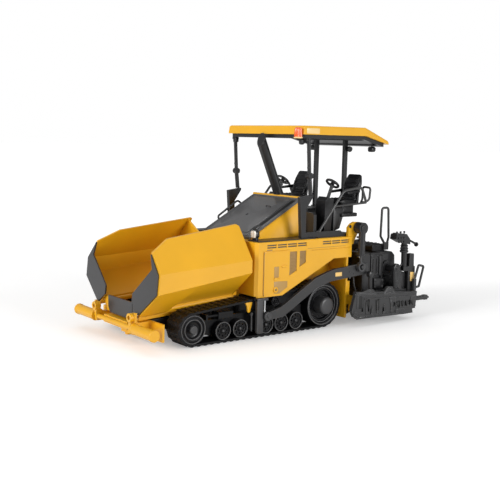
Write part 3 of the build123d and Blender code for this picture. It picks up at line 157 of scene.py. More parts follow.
def floor():
    """A square sheet at z = 0."""
    half = FLOOR_SIZE / 2
    mesh = bpy.data.meshes.new("floor")
    corners = np.array([(-half, -half, 0), (half, -half, 0), (half, half, 0), (-half, half, 0)])
    mesh.from_pydata(corners.tolist(), [], [(0, 1, 2, 3)])
    sheet = bpy.data.objects.new("floor", mesh)
    sheet.data.materials.append(floor_material())
    bpy.context.scene.collection.objects.link(sheet)


floor()
print("floor:", FLOOR_SIZE, "m wide")

# %% [markdown]
# Suns and surround. A sun's disc is made wide, so that its shadows are soft. The surround is three things
# at once: white where the camera sees it, darker in reflections and as a lamp, so the dark paints keep
# their depth.

# %% Light


def wide_sun(name, towards, strength, spread):
    """A distant lamp whose disc is spread degrees wide, so that its shadows have soft edges."""
    light = bpy.data.lights.new(name, "SUN")
    light.energy = strength
    light.angle = math.radians(spread)
    lamp = bpy.data.objects.new(name, light)
    turn = Vector(towards).to_track_quat("Z", "Y").to_matrix().to_4x4()
    lamp.matrix_world = Matrix.Translation(Vector(towards).normalized()) @ turn
    bpy.context.scene.collection.objects.link(lamp)


def surround(strength, gloss):
    """Pale world: white to the camera, gloss strong in reflections and strength strong as a light."""
    world = bpy.data.worlds.new("surround")
    bpy.context.scene.world = world
    world.use_nodes = True
    tree = world.node_tree
    tree.nodes.clear()
    light, shiny, seen = [shader_node(tree, "Background", Color=WHITE, Strength=value)
                          for value in (strength, gloss, 1.0)]
    path, out = shader_node(tree, "LightPath"), shader_node(tree, "OutputWorld")
    shine, sight = shader_node(tree, "MixShader"), shader_node(tree, "MixShader")
    wire(tree,
         (path, "Is Glossy Ray", shine, "Fac"), (light, "Background", shine, 1),
         (shiny, "Background", shine, 2), (path, "Is Camera Ray", sight, "Fac"), (shine, "Shader", sight, 1),
         (seen, "Background", sight, 2), (sight, "Shader", out, "Surface"))


surround(0.42, 0.35)
wide_sun("front_sun", (1.0, -0.1, 0.35), 2.05, 30)
wide_sun("side_sun", (-0.25, 0.95, 0.22), 1.65, 24)
wide_sun("top_sun", (-0.1, -0.2, 1.0), 0.5, 60)
print("lamps:", [lamp.name for lamp in bpy.data.lights])

# %% [markdown]
# Finishes. Each material is worked out from Object coordinates, so it stays put on its piece. The patterns
# are fine, because the model is small: enamel has a soft orange peel, mouldings a faint grain. A die-cast
# edge is never sharp, so the Bevel node rounds the shading at every edge. Where that rounded direction
# leaves the true one the paint is a little paler: partly worn paint, partly a painted highlight, the light
# line that an edge catches.

# %% Finishes
SHEEN = 0.06  # how far the roughness varies
EDGE_METRES = 0.00018


def finish(name, colour, rough, metallic=0.0, coat=0.0, shade=0.06, grain=1400.0, relief=0.05, wear_and_highlight=0.0,
           wear_and_highlight_colour=None, mirror=0.5):
    """Colour varied by slow noise, paler at edges as wear and painted highlight; roughness by quick noise,
    fine bump, rounded edges.
    """
    material, tree, shader = node_material(name)
    set_inputs(shader, Metallic=metallic, Coat_Weight=coat, Coat_Roughness=0.1, Specular_IOR_Level=mirror)
    where, true = shader_node(tree, "TexCoord"), shader_node(tree, "NewGeometry")
    slow = shader_node(tree, "TexNoise", Scale=70.0, Detail=4.0)
    quick = shader_node(tree, "TexNoise", Scale=grain, Detail=2.0)
    ramp = shader_node(tree, "ValToRGB")
    for stop, place, lightness in zip(ramp.color_ramp.elements, (0.3, 0.7), (1 - shade, 1 + shade)):
        stop.position = place
        stop.color = tuple(min(1.0, c * lightness) for c in colour) + (1,)
    soft = shader_node(tree, "Bevel", Radius=EDGE_METRES)
    soft.samples = 4
    agree = shader_node(tree, "VectorMath")
    agree.operation = "DOT_PRODUCT"
    # Paler at edges: partly worn paint, partly a painted highlight along every edge.
    rim = shader_node(tree, "MapRange", From_Min=0.99, From_Max=0.8, To_Min=0.0, To_Max=wear_and_highlight)
    paint = shader_node(tree, "Mix")
    paint.data_type = "RGBA"
    set_inputs(paint, B=tuple(wear_and_highlight_colour or [min(1.0, c * 1.4 + 0.03) for c in colour]) + (1,))
    spread = shader_node(tree, "MapRange", To_Min=max(0.02, rough - SHEEN), To_Max=min(1.0, rough + SHEEN))
    bump = shader_node(tree, "Bump", Strength=relief, Distance=0.0002)
    wire(tree,
         (where, "Object", slow, "Vector"), (slow, "Fac", ramp, "Fac"), (soft, "Normal", agree, 0),
         (true, "Normal", agree, 1), (agree, "Value", rim, "Value"), (rim, "Result", paint, "Factor"),
         (ramp, "Color", paint, "A"), (paint, "Result", shader, "Base Color"),
         (where, "Object", quick, "Vector"), (quick, "Fac", spread, "Value"),
         (spread, "Result", shader, "Roughness"), (quick, "Fac", bump, "Height"),
         (soft, "Normal", bump, "Normal"), (bump, "Normal", shader, "Normal"))
    return material


print("one function makes every finish")

# %% [markdown]
# The paints. The enamels, the screed's black and the mouldings differ in how dark they are and in how pale
# their edges are, which is partly wear and partly painted highlight. The tracks, the rollers and the seats
# mirror less, so that they stay the darkest.

# %% Paints
ENAMEL = finish("enamel_yellow", (0.80, 0.405, 0.010), 0.34, coat=0.2, shade=0.04, grain=900, wear_and_highlight=0.55)
DARK_ENAMEL = finish("enamel_dark", (0.035, 0.035, 0.037), 0.4, coat=0.2, wear_and_highlight=0.5,
                     wear_and_highlight_colour=(0.16, 0.16, 0.165))
SCREED_BLACK = finish("screed_black", (0.018, 0.018, 0.019), 0.34, wear_and_highlight=0.7, wear_and_highlight_colour=(0.13, 0.13, 0.135))
GATE_ENAMEL = finish("gate_enamel", (0.027, 0.027, 0.028), 0.4, wear_and_highlight=0.9, wear_and_highlight_colour=(0.20, 0.20, 0.205))
BLACK = finish("moulded_black", (0.012, 0.012, 0.013), 0.34, relief=0.1, wear_and_highlight=0.7,
               wear_and_highlight_colour=(0.12, 0.12, 0.125))
TRACK = finish("track_black", (0.006, 0.006, 0.007), 0.45, relief=0.3, grain=2200, wear_and_highlight=0.5,
               wear_and_highlight_colour=(0.06, 0.06, 0.065), mirror=0.2)
ROLLER = finish("roller_black", (0.005, 0.005, 0.006), 0.3, wear_and_highlight=0.8, wear_and_highlight_colour=(0.10, 0.10, 0.105),
                mirror=0.25)
RIM = finish("roller_rim", (0.10, 0.10, 0.103), 0.3, wear_and_highlight=0.6, wear_and_highlight_colour=(0.3, 0.3, 0.3))
CAP = finish("hub_cap", (0.045, 0.045, 0.047), 0.35, wear_and_highlight=0.8, wear_and_highlight_colour=(0.2, 0.2, 0.2))
LID_ENAMEL = finish("lid_enamel", (0.085, 0.085, 0.087), 0.36, coat=0.2, wear_and_highlight=0.5,
                    wear_and_highlight_colour=(0.16, 0.16, 0.165))
# Painted shade: a flat black that stands for the shade in slots and recesses.
PAINTED_SHADE = finish("painted_shade_black", (0.003, 0.003, 0.003), 0.6)
RAIL = finish("rail_enamel", (0.05, 0.05, 0.05), 0.3, wear_and_highlight=0.6, wear_and_highlight_colour=(0.2, 0.2, 0.2))
CHROME = finish("bright_steel", (0.72, 0.73, 0.75), 0.15, metallic=1.0, wear_and_highlight=0.1)
ORANGE = finish("beacon_orange", (0.84, 0.11, 0.012), 0.14, coat=0.7, wear_and_highlight=0.3)
LAMP = finish("lamp_face", (0.80, 0.77, 0.70), 0.16, coat=0.8)
SEAT = finish("seat_black", (0.004, 0.004, 0.005), 0.34, mirror=0.35, relief=0.35, grain=2600, wear_and_highlight=0.3)
print(len(bpy.data.materials), "materials")

# %% [markdown]
# Every CAD node keeps its shape and gets a finish. Most follow their slot. A few read darker or paler in
# the photograph than others of the same slot, so they are named with a finish of their own.

# %% Finish of each node
FINISH_OF_SLOT = {
    "paint_yellow": ENAMEL, "paint_dark": DARK_ENAMEL, "plastic_black": BLACK, "track_plastic": TRACK,
    "paint_roller": ROLLER, "steel_bright": CHROME, "lens_orange": ORANGE, "lamp_white": LAMP,
    "seat_black": SEAT,
}
OWN_FINISH = {"hood_cover": LID_ENAMEL}
for own, names in (
    (SCREED_BLACK, ("screed_frame", "screed_houses", "screed_walkway", "extension_left", "extension_right")),
    (BLACK, ("lift_barrel_left", "lift_barrel_right", "side_console_left", "side_console_right",
             "control_stands", "centre_console")),
    (TRACK, ("track_frames", "conveyor")),
    (RAIL, ("handrails", "grab_loops")),
    (GATE_ENAMEL, ("end_gate_left", "end_gate_right", "tow_arms")),
):
    OWN_FINISH.update(dict.fromkeys(names, own))
slot_of = {entry["node"]: entry["material_slot"] for entry in frame["record"]["subparts"]}
for name, node in NODES.items():
    node.data.materials.clear()
    node.data.materials.append(OWN_FINISH.get(name, FINISH_OF_SLOT[slot_of[name]]))
print(len(NODES), "CAD nodes have their finish")

# %% [markdown]
# Shapes as arrays. A surface here is a pair: an array of points and an array of four-cornered faces.
# Spinning a profile, running a ring along a route and giving an outline a thickness are all the same thing,
# a grid of points with its lines joined up, so one function makes the faces for all of them.

# %% Grids


def grid_faces(rows, columns, wrap_rows=False, wrap_columns=False):
    """Corner numbers of the quads between neighbouring lines; a wrapped direction joins last to first."""
    down = np.arange(rows if wrap_rows else rows - 1)
    across = np.arange(columns if wrap_columns else columns - 1)
    row, column = (array.ravel() for array in np.meshgrid(down, across, indexing="ij"))
    next_row, next_column = (row + 1) % rows, (column + 1) % columns
    return np.stack([row * columns + column, row * columns + next_column,
                     next_row * columns + next_column, next_row * columns + column], axis=1)


def surface(grid, wrap_rows=False, wrap_columns=False):
    """A grid of points, rows x columns x 3, as points and faces."""
    return grid.reshape(-1, 3), grid_faces(*grid.shape[:2], wrap_rows, wrap_columns)


def join(*shapes):
    """Several surfaces as one: the corner numbers of each start where those of the one before end."""
    starts = np.cumsum([0] + [len(points) for points, faces in shapes[:-1]])
    return (np.concatenate([points for points, faces in shapes]),
            np.concatenate([faces + start for (points, faces), start in zip(shapes, starts)]))


def mirrored(shape):
    """The right-hand twin: y changes its sign, and the faces run the other way round."""
    points, faces = shape
    return points * (1, -1, 1), faces[:, ::-1]


def both_sides(shape):
    """A left-hand shape with its right-hand twin."""
    return join(shape, mirrored(shape))


def copies(shape, places):
    """One copy of a small shape at each place: every point plus every place, worked out as one array."""
    points, faces = shape
    places = np.asarray(places, float)
    numbers = np.arange(len(places))[:, None, None] * len(points)
    return (points[None] + places[:, None]).reshape(-1, 3), (faces[None] + numbers).reshape(-1, 4)


def unit(vectors):
    """The same directions with length one."""
    vectors = np.asarray(vectors, float)
    return vectors / np.linalg.norm(vectors, axis=-1, keepdims=True)


def axes_round(axis):
    """Two directions square to an axis and to each other, and the axis with length one."""
    axis = unit(axis)
    level = (0, 0, 1) if abs(axis[2]) < 0.9 else (1, 0, 0)
    first = unit(np.cross(level, axis))
    return first, np.cross(axis, first), axis


print("faces in a 3 x 4 grid:", len(grid_faces(3, 4)))

# %% [markdown]
# Round things. A lathe turns a profile of places along an axis and their radii, which is how wheels, caps
# and bolts are really made. Most axes here lie across the machine or stand upright, so both have a short
# form.

# %% Lathe


def lathe(profile, centre, axis, steps):
    """Each (along, radius) pair becomes a circle: centre + along x axis + radius x (cos, sin) round it."""
    profile = np.asarray(profile, float)
    first, second, axis = axes_round(axis)
    turn = np.linspace(0, 2 * np.pi, steps, endpoint=False)
    circle = np.cos(turn)[:, None] * first + np.sin(turn)[:, None] * second
    grid = np.asarray(centre) + profile[:, :1, None] * axis + profile[:, 1:, None] * circle
    return surface(grid, wrap_columns=True)


def turned(profile, x, z, face=0.0, steps=24):
    """A lathe about y at x and z, whose profile starts to count at the face."""
    return lathe(profile, (x, face, z), (0, 1, 0), steps)


def upright(profile, x, y, z=0.0, steps=24):
    """A lathe about z, whose profile starts to count at height z."""
    return lathe(profile, (x, y, z), (0, 0, 1), steps)


def bolt(axis, radius, height):
    """A six-sided head with a washer under it, a few dozen faces in all."""
    profile = [(-0.15, 0), (-0.15, radius * 1.35), (height * 0.25, radius * 1.35), (height * 0.25, radius),
               (height * 0.85, radius), (height, radius * 0.75), (height, 0)]
    return lathe(profile, (0, 0, 0), axis, 6)


def bolts(places, radius=0.3, height=0.3, axis=(0, 1, 0)):
    """One bolt at each place."""
    return copies(bolt(axis, radius, height), places)


print("points in a bolt:", len(bolts([(0, 0, 0)])[0]))

# %% [markdown]
# Flat things. A slab gives an outline a thickness, and its rims are rounded, as on a casting that has come
# out of a die. Corners become short parabolas, which need no centre to be found.

# %% Slab


def inset(outline, distance):
    """Each corner moves inwards along its bisector, by distance over the cosine of half the corner's turn."""
    before = unit(outline - np.roll(outline, 1, axis=0))
    after = unit(np.roll(outline, -1, axis=0) - outline)
    x, y = outline.T
    way = np.sign(np.sum(x * np.roll(y, -1) - y * np.roll(x, -1)))
    square_before = np.stack([-before[:, 1], before[:, 0]], axis=1)
    square_after = np.stack([-after[:, 1], after[:, 0]], axis=1)
    reach = 1 + np.sum(square_before * square_after, axis=1, keepdims=True)
    return outline + way * distance * (square_before + square_after) / np.maximum(reach, 0.3)


PLANES = {
    "x": ((0, 1, 0), (0, 0, 1), (1, 0, 0)),
    "y": ((1, 0, 0), (0, 0, 1), (0, 1, 0)),
}


def slab(outline, low, high, plane="y", rim=0.12, origin=(0, 0, 0)):
    """Rows of the outline, inset and raised along a quarter circle at each rim, closed at its middle."""
    outline = np.asarray(outline, float)
    across, up, out = (np.asarray(v, float) for v in (PLANES[plane] if isinstance(plane, str) else plane))
    turn = np.linspace(0, np.pi / 2, 3)
    ins = rim * (1 - np.sin(turn))
    rise = rim * (1 - np.cos(turn))
    middle = np.repeat(outline.mean(axis=0)[None], len(outline), axis=0)
    rows = [middle] + [inset(outline, i) for i in ins] + [inset(outline, i) for i in ins[::-1]] + [middle]
    level = np.concatenate([[low], low + rise, (high - rise)[::-1], [high]])
    flat = np.stack(rows)
    grid = (np.asarray(origin, float) + flat[..., :1] * across + flat[..., 1:] * up
            + level[:, None, None] * out)
    return surface(grid, wrap_columns=True)


def rounded(corners, bend, steps=5, closed=False):
    """Each corner becomes a parabola from bend before it to bend after it: (1-t)^2 A + 2t(1-t) P + t^2 B."""
    corners = np.asarray(corners, float)
    before, after = np.roll(corners, 1, axis=0), np.roll(corners, -1, axis=0)
    chosen = slice(None) if closed else slice(1, -1)
    corner = corners[chosen]
    start = corner + bend * unit(before[chosen] - corner)
    stop = corner + bend * unit(after[chosen] - corner)
    t = np.linspace(0, 1, steps)[None, :, None]
    arcs = (1 - t) ** 2 * start[:, None] + 2 * t * (1 - t) * corner[:, None] + t ** 2 * stop[:, None]
    arcs = arcs.reshape(-1, corners.shape[1])
    return arcs if closed else np.vstack([corners[:1], arcs, corners[-1:]])


def box_outline(u0, u1, v0, v1, round_by=0.0):
    """A rectangle's corners, rounded if asked."""
    corners = np.array([(u0, v0), (u1, v0), (u1, v1), (u0, v1)], float)
    return rounded(corners, round_by, 4, closed=True) if round_by else corners


def plate(corners, low, high, bend, rim=0.12, steps=4, plane="y", origin=(0, 0, 0)):
    """A slab whose outline has round corners."""
    return slab(rounded(corners, bend, steps, closed=True), low, high, plane, rim, origin)


def block(u0, u1, v0, v1, low, high, bend=0.0, rim=0.12, plane="y", origin=(0, 0, 0)):
    """A slab with a rectangle as its outline."""
    return slab(box_outline(u0, u1, v0, v1, bend), low, high, plane, rim, origin)


print("points in a plain block:", len(block(0, 1, 0, 1, 0, 1)[0]))

# %% [markdown]
# Pipes. A tube carries a circle along a route, and its radius may change on the way. Rails have round
# bends, so the corners of their routes are rounded first.

# %% Tube


def tube(route, radius, side=(0, 1, 0), sides=12, closed=False):
    """A circle square to the route at each of its points; side is a direction that the route never takes."""
    route = np.asarray(route, float)
    if closed:
        ahead = unit(np.roll(route, -1, axis=0) - np.roll(route, 1, axis=0))
    else:
        ahead = unit(np.gradient(route, axis=0))
    first = unit(np.cross(np.asarray(side, float), ahead))
    second = np.cross(ahead, first)
    turn = np.linspace(0, 2 * np.pi, sides, endpoint=False)
    ring = np.cos(turn)[None, :, None] * first[:, None] + np.sin(turn)[None, :, None] * second[:, None]
    radius = np.broadcast_to(np.asarray(radius, float), len(route))
    grid = route[:, None] + radius[:, None, None] * ring
    if not closed:
        ends = np.repeat(route[[0, -1], None], sides, axis=1)
        grid = np.concatenate([ends[:1], grid, ends[1:]])
    return surface(grid, wrap_rows=closed, wrap_columns=True)


print("points in a straight tube:", len(tube([(0, 0, 0), (1, 0, 0)], 1)[0]))

# %% [markdown]
# From arrays to an object. Points that fall together are merged, which closes seams and poles, and a quad
# that loses a corner becomes a triangle. The faces are then turned outwards, and only edges that turn
# sharply stay sharp. The object itself stays at the origin, with its place in its mesh, and rides on a body
# of the frame.

# %% Make a piece
CREASE = math.radians(38)
made = {}


def piece(name, shape, body, slot, material=None):
    """Puts a surface into Blender as one object that rides on a body."""
    points, faces = shape
    places, number = np.unique(np.round(points, 4), axis=0, return_inverse=True)
    faces = number.reshape(-1)[faces]
    twice = faces == np.roll(faces, -1, axis=1)
    quads = faces[twice.sum(axis=1) == 0]
    one = twice.sum(axis=1) == 1
    triangles = faces[one][~twice[one]].reshape(-1, 3)
    mesh = bpy.data.meshes.new(name)
    metres = (places + (DRIVE_LINE_X, 0, 0)) * MM
    mesh.from_pydata(metres.tolist(), [], quads.tolist() + triangles.tolist())
    work = bmesh.new()
    work.from_mesh(mesh)
    bmesh.ops.recalc_face_normals(work, faces=work.faces)
    work.to_mesh(mesh)
    work.free()
    mesh.shade_smooth()
    mesh.set_sharp_from_angle(angle=CREASE)
    mesh.materials.append(material or FINISH_OF_SLOT[slot])
    thing = bpy.data.objects.new(name, mesh)
    bpy.context.scene.collection.objects.link(thing)
    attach(thing, body)
    made[name] = len(quads) * 2 + len(triangles)
    print(name, made[name], "triangles")
    return thing


def pair(name, shape, body, slot, material=None):
    """The left piece on the left body, and its mirrored twin on the right one."""
    piece(name + "_left", shape, body + "_left", slot, material)
    piece(name + "_right", mirrored(shape), body + "_right", slot, material)


print("pieces so far:", len(made))

# %% [markdown]
# The road rollers. Each real roller has two discs on one axle, and the outer disc is dished, with a thin
# bright rim, a ring of eight pockets and a small domed hub. A lathe makes the dish. The pockets are added
# to the same grid: a point nearer to a pocket's middle than its radius is pushed in along the axle.
# Profiles are written as shares of the wheel's radius, and multiplying the array by (1, r) gives them their
# size.

# %% Road rollers
BELT_INNER_Y = 15.9
BELT_OUTER_Y = 24.5
WHEEL_FACE_Y = BELT_OUTER_Y - 0.2
WHEEL_BACK_Y = BELT_INNER_Y + 0.2
DISC_WIDTH = 2.8
AXLE_RADIUS = 0.9
ROLLER_RADIUS = 3.399
ROLLER_X = (34.6, 26.81, 14.58, 7.22, -0.2)
ROLLER_Z = 4.5
CARRIER_X, CARRIER_Z, CARRIER_RADIUS = 10.37, 13.04, 1.898
POCKET_COUNT, POCKET_DEPTH = 8, 0.55
POCKET_LIMIT = -1.5  # only what lies nearer to the face than this can sink
RING_POINTS = 72


def smooth_step(low, high, value):
    """0 below low, 1 above high, and 3t^2 - 2t^3 between."""
    t = np.clip((value - low) / (high - low), 0, 1)
    return t * t * (3 - 2 * t)


def pocketed_disc(x, z, profile, at_radius, pocket_radius):
    """A lathe about y whose face sinks where the distance to the nearest pocket's middle is small."""
    turn = np.linspace(0, 2 * np.pi, RING_POINTS, endpoint=False)
    along, radius = profile[:, :1], profile[:, 1:]
    nearest = np.round(turn * POCKET_COUNT / (2 * np.pi)) * 2 * np.pi / POCKET_COUNT
    away = np.sqrt(radius ** 2 + at_radius ** 2 - 2 * radius * at_radius * np.cos(turn - nearest)[None])
    sunk = POCKET_DEPTH * smooth_step(pocket_radius, pocket_radius * 0.7, away) * (along > POCKET_LIMIT)
    grid = np.stack([x + radius * np.cos(turn), WHEEL_FACE_Y + along - sunk, z + radius * np.sin(turn)],
                    axis=-1)
    return surface(grid, wrap_columns=True)


def axle(x, z, short):
    """The rod between a wheel's two discs; it ends short of the outer face."""
    reach = WHEEL_FACE_Y - short - WHEEL_BACK_Y
    return turned([(1, 0), (1, AXLE_RADIUS), (reach, AXLE_RADIUS), (reach, 0)], x, z, WHEEL_BACK_Y)


def road_roller(x, z, r):
    """Outer dished disc, plain inner disc and the axle between them."""
    web = [(-0.6, share) for share in np.linspace(0.36, 0.79, 15)]
    dish = np.array([
        (0.12, 0), (0.12, 0.14), (0.04, 0.2), (-0.25, 0.26), (-0.6, 0.33), *web, (-0.35, 0.83), (-0.05, 0.86),
        (0.0, 0.9), (0.0, 0.95), (-0.2, 1), (-2.65, 1), (-DISC_WIDTH, 0.95), (-DISC_WIDTH, 0),
    ]) * (1, r)
    plain = np.array([
        (0, 0), (0, 0.6), (0.4, 0.64), (0.4, 0.84), (0, 0.88), (0, 0.96), (0.15, 1), (2.6, 1),
        (DISC_WIDTH, 0.96), (DISC_WIDTH, 0),
    ]) * (1, r)
    return join(pocketed_disc(x, z, dish, 0.57 * r, 0.15 * r),
                turned(plain, x, z, WHEEL_BACK_Y, 48), axle(x, z, 1))


rollers = join(*[road_roller(x, ROLLER_Z, ROLLER_RADIUS) for x in ROLLER_X],
               road_roller(CARRIER_X, CARRIER_Z, CARRIER_RADIUS))
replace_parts(piece("rollers_dressed", both_sides(rollers), "machine", "paint_roller"), "road_rollers")

# %% [markdown]
# The front idler shows rings like a target: a broad rim, a groove, a second ring and a proud cap with a
# rounded edge. The big drive wheel at the rear has a deep rim, two steps down to a dark web with a ring of
# bolts, and a fat domed cap that hides the gearbox. Thin paler rings mark the rims.

# %% Idlers and drive wheels
IDLER_X, IDLER_Z, IDLER_RADIUS = 47.7, 6.4, 5.3
DRIVE_X, DRIVE_Z, DRIVE_RADIUS = -14.1, 9.2, 8.1
CAP_RADIUS = 3.45
WEB_DEPTH = 2.4
WHEEL_BOLTS, BOLT_CIRCLE, FIRST_BOLT = 20, 0.645, 0.16


def idler(x, z, r):
    """Rings and grooves from cap to rim, then the tread and the plain inner disc."""
    target = np.array([
        (0.25, 0), (0.25, 0.2), (0.16, 0.25), (-0.1, 0.27), (-0.9, 0.29), (-0.9, 0.53), (-0.75, 0.57),
        (-0.15, 0.61), (-0.08, 0.63), (-0.08, 0.71), (-0.15, 0.73), (-0.5, 0.75), (-0.5, 0.84), (-0.12, 0.87),
        (-0.02, 0.89), (-0.02, 0.96), (-0.25, 1), (-2.6, 1), (-DISC_WIDTH, 0.97), (-DISC_WIDTH, 0),
    ]) * (1, r)
    plain = np.array([(0, 0), (0, 0.97), (0.2, 1), (2.6, 1), (DISC_WIDTH, 0.97), (DISC_WIDTH, 0)]) * (1, r)
    return join(turned(target, x, z, WHEEL_FACE_Y, 96), turned(plain, x, z, WHEEL_BACK_Y, 64),
                axle(x, z, 1.2))


def drive_wheel(x, z, r):
    """Rim, steps and web by lathe, with a ring of bolts on the web; the cap is a shape of its own."""
    web = [(-WEB_DEPTH, radius) for radius in np.linspace(CAP_RADIUS + 0.15, 0.71 * r, 12)]
    depth = WHEEL_BACK_Y - WHEEL_FACE_Y
    steps = np.array([
        (-1.3, 0.735), (-1.15, 0.75), (-1.15, 0.79), (-0.75, 0.81), (-0.65, 0.83), (-0.65, 0.87),
        (-0.1, 0.895), (0.0, 0.91), (0.0, 0.975), (-0.2, 1), (depth + 0.2, 1), (depth, 0.97), (depth, 0),
    ]) * (1, r)
    disc = turned([(-1.9, 0), (-1.9, CAP_RADIUS), *web, *steps], x, z, WHEEL_FACE_Y, 120)
    cap = turned([(-2.3, 0), (-2.3, CAP_RADIUS), (1.9, CAP_RADIUS), (2.35, CAP_RADIUS - 0.12),
                  (2.65, CAP_RADIUS - 0.5), (2.78, CAP_RADIUS - 1.1), (2.8, 0)], x, z, WHEEL_FACE_Y, 72)
    turn = np.linspace(0, 2 * np.pi, WHEEL_BOLTS, endpoint=False) + FIRST_BOLT
    heads = np.stack([x + BOLT_CIRCLE * r * np.cos(turn),
                      np.full(WHEEL_BOLTS, WHEEL_FACE_Y - WEB_DEPTH + 0.1),
                      z + BOLT_CIRCLE * r * np.sin(turn)], axis=1)
    return join(disc, bolts(heads, 0.3, 0.5)), cap


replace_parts(piece("idlers_dressed", both_sides(idler(IDLER_X, IDLER_Z, IDLER_RADIUS)), "machine",
                  "paint_roller"), "idlers")
wheel_disc, wheel_cap = drive_wheel(DRIVE_X, DRIVE_Z, DRIVE_RADIUS)
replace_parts(piece("drive_wheels_dressed", both_sides(wheel_disc), "machine", "paint_roller"), "drive_wheels")

# %% [markdown]
# Caps and rims. The hub caps are paler than the wheels, and thin paler wires lie on the rims. They are
# pieces of their own because they have another finish.

# %% Caps and rims


def wire_ring(x, z, radius, thick, y=WHEEL_FACE_Y):
    """A circle of round wire about y."""
    turn = np.linspace(0, 2 * np.pi, RING_POINTS, endpoint=False)
    route = np.stack([x + radius * np.cos(turn), np.full(RING_POINTS, y), z + radius * np.sin(turn)], axis=1)
    return tube(route, thick, (0, 1, 0), 6, closed=True)


idler_cap = turned([(-0.8, 0), (-0.8, 1.5), (0.3, 1.5), (0.5, 1.25), (0.5, 0)], IDLER_X, IDLER_Z,
                   WHEEL_FACE_Y, 48)
hubs = [turned([(-0.4, 0), (-0.4, 0.55), (0.15, 0.45), (0.25, 0)], x, ROLLER_Z, WHEEL_FACE_Y, 20)
        for x in ROLLER_X]
piece("hub_caps", both_sides(join(wheel_cap, idler_cap, *hubs)), "machine", "paint_roller", CAP)
rings = [wire_ring(x, ROLLER_Z, 0.94 * ROLLER_RADIUS, 0.14) for x in ROLLER_X]
rings += [wire_ring(IDLER_X, IDLER_Z, share * IDLER_RADIUS, 0.15) for share in (0.95, 0.68)]
rings += [wire_ring(DRIVE_X, DRIVE_Z, 0.965 * DRIVE_RADIUS, 0.2),
          wire_ring(DRIVE_X, DRIVE_Z, 0.84 * DRIVE_RADIUS, 0.13, WHEEL_FACE_Y - 0.6)]
piece("wheel_rings", both_sides(join(*rings)), "machine", "paint_roller", RIM)

# %% [markdown]
# The belts. One loop is a grid: its long direction goes once round the two wheels, its short direction goes
# round the belt's own section. This first step walks along it: two straight runs and two arcs, each place
# with the direction that points out of the belt there. The shoes are not separate pieces. They are a height
# added to the outer side, which rises and falls once in every pitch, so the tread stays one closed skin.

# %% Track belts
BELT_WALL = 0.75
SHOE_HEIGHT = 0.35
SHOE_LENGTH = 1.5
SHOE_PITCH = 2.9
TOP_TILT = 2 * math.atan2(DRIVE_Z - IDLER_Z, IDLER_X - DRIVE_X)
GROOVES = ((2.38, 2.92), (5.68, 6.22))
GROOVE_WALL, GROOVE_SHARE = 0.12, 0.75


def belt_stations(count_per_shoe):
    """Places on the wall's outer side and the directions out of it: lower run, nose, upper run and tail."""
    nose, tail = IDLER_RADIUS + BELT_WALL, DRIVE_RADIUS + BELT_WALL
    run = math.sqrt((IDLER_X - DRIVE_X) ** 2 + (DRIVE_Z - IDLER_Z) ** 2 - (tail - nose) ** 2)
    spans = np.array([run, nose * (math.pi - TOP_TILT), run, tail * (math.pi + TOP_TILT)])
    shoes = round(spans.sum() / SHOE_PITCH)
    s = np.arange(shoes * count_per_shoe) * spans.sum() / (shoes * count_per_shoe)
    leg = np.searchsorted(np.cumsum(spans), s, side="right")
    s_leg = s - np.concatenate([[0], np.cumsum(spans)[:3]])[leg]
    top = math.pi / 2 - TOP_TILT
    turn = np.choose(leg, [np.full_like(s, -math.pi / 2), -math.pi / 2 + s_leg / nose,
                           np.full_like(s, top), top + s_leg / tail])
    out = np.stack([np.cos(turn), np.zeros_like(turn), np.sin(turn)], axis=1)
    hub = np.where((leg == 1) | (leg == 2), 1.0, 0.0)[:, None]
    middle = hub * (IDLER_X, 0, IDLER_Z) + (1 - hub) * (DRIVE_X, 0, DRIVE_Z)
    middle = middle + np.where(leg == 0, s_leg, 0)[:, None] * (1, 0, 0)
    back = np.where(leg == 2, s_leg, 0)[:, None] * (-math.cos(TOP_TILT), 0, math.sin(TOP_TILT))
    reach = np.where((leg == 1) | (leg == 2), nose, tail)[:, None]
    return middle + back + reach * out, out, shoes, (s * shoes / spans.sum()) % 1.0


print("the upper run falls", round(math.degrees(TOP_TILT), 2), "degrees to the front")

# %% [markdown]
# The belt's skin. Across the belt the shoes are full from edge to edge but for the two grooves, which take
# three quarters of their height away. Along it they rise and fall softly, and the two are multiplied.

# %% Shoes


def belt():
    """Outer rows carry the shoes' height: a soft pulse along the belt times a soft pulse across it."""
    place, out, shoes, phase = belt_stations(12)
    lane = np.array([0, 0.12, 0.3, 2.35, 2.5, 2.8, 2.95, 4.3, 5.65, 5.8, 6.1, 6.25, 8.3, 8.48, 8.6])
    across = smooth_step(0.05, 0.28, lane) * smooth_step(8.55, 8.32, lane)
    for low, high in GROOVES:
        groove = smooth_step(low, low + GROOVE_WALL, lane) * smooth_step(high, high - GROOVE_WALL, lane)
        across = across * (1 - GROOVE_SHARE * groove)
    half = SHOE_LENGTH / SHOE_PITCH / 2
    pulse = smooth_step(0.5 - half - 0.05, 0.5 - half + 0.05, phase) * smooth_step(
        0.5 + half + 0.05, 0.5 + half - 0.05, phase)
    height = SHOE_HEIGHT * pulse[:, None] * across[None]
    outer = (place[:, None] + height[..., None] * out[:, None]
             + (lane + BELT_INNER_Y)[None, :, None] * (0, 1, 0))
    back_lane = np.array([8.6, 8.45, 6.0, 2.6, 0.15, 0])
    depth = np.array([0.6, 0.75, 0.75, 0.75, 0.75, 0.6])
    inner = (place[:, None] - depth[None, :, None] * out[:, None]
             + (back_lane + BELT_INNER_Y)[None, :, None] * (0, 1, 0))
    print(shoes, "shoes a side")
    return surface(np.concatenate([outer, inner], axis=1), wrap_rows=True, wrap_columns=True)


left_belt = belt()
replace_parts(piece("belt_left", left_belt, "machine", "track_plastic"), "track_left")
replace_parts(piece("belt_right", mirrored(left_belt), "machine", "track_plastic"), "track_right")

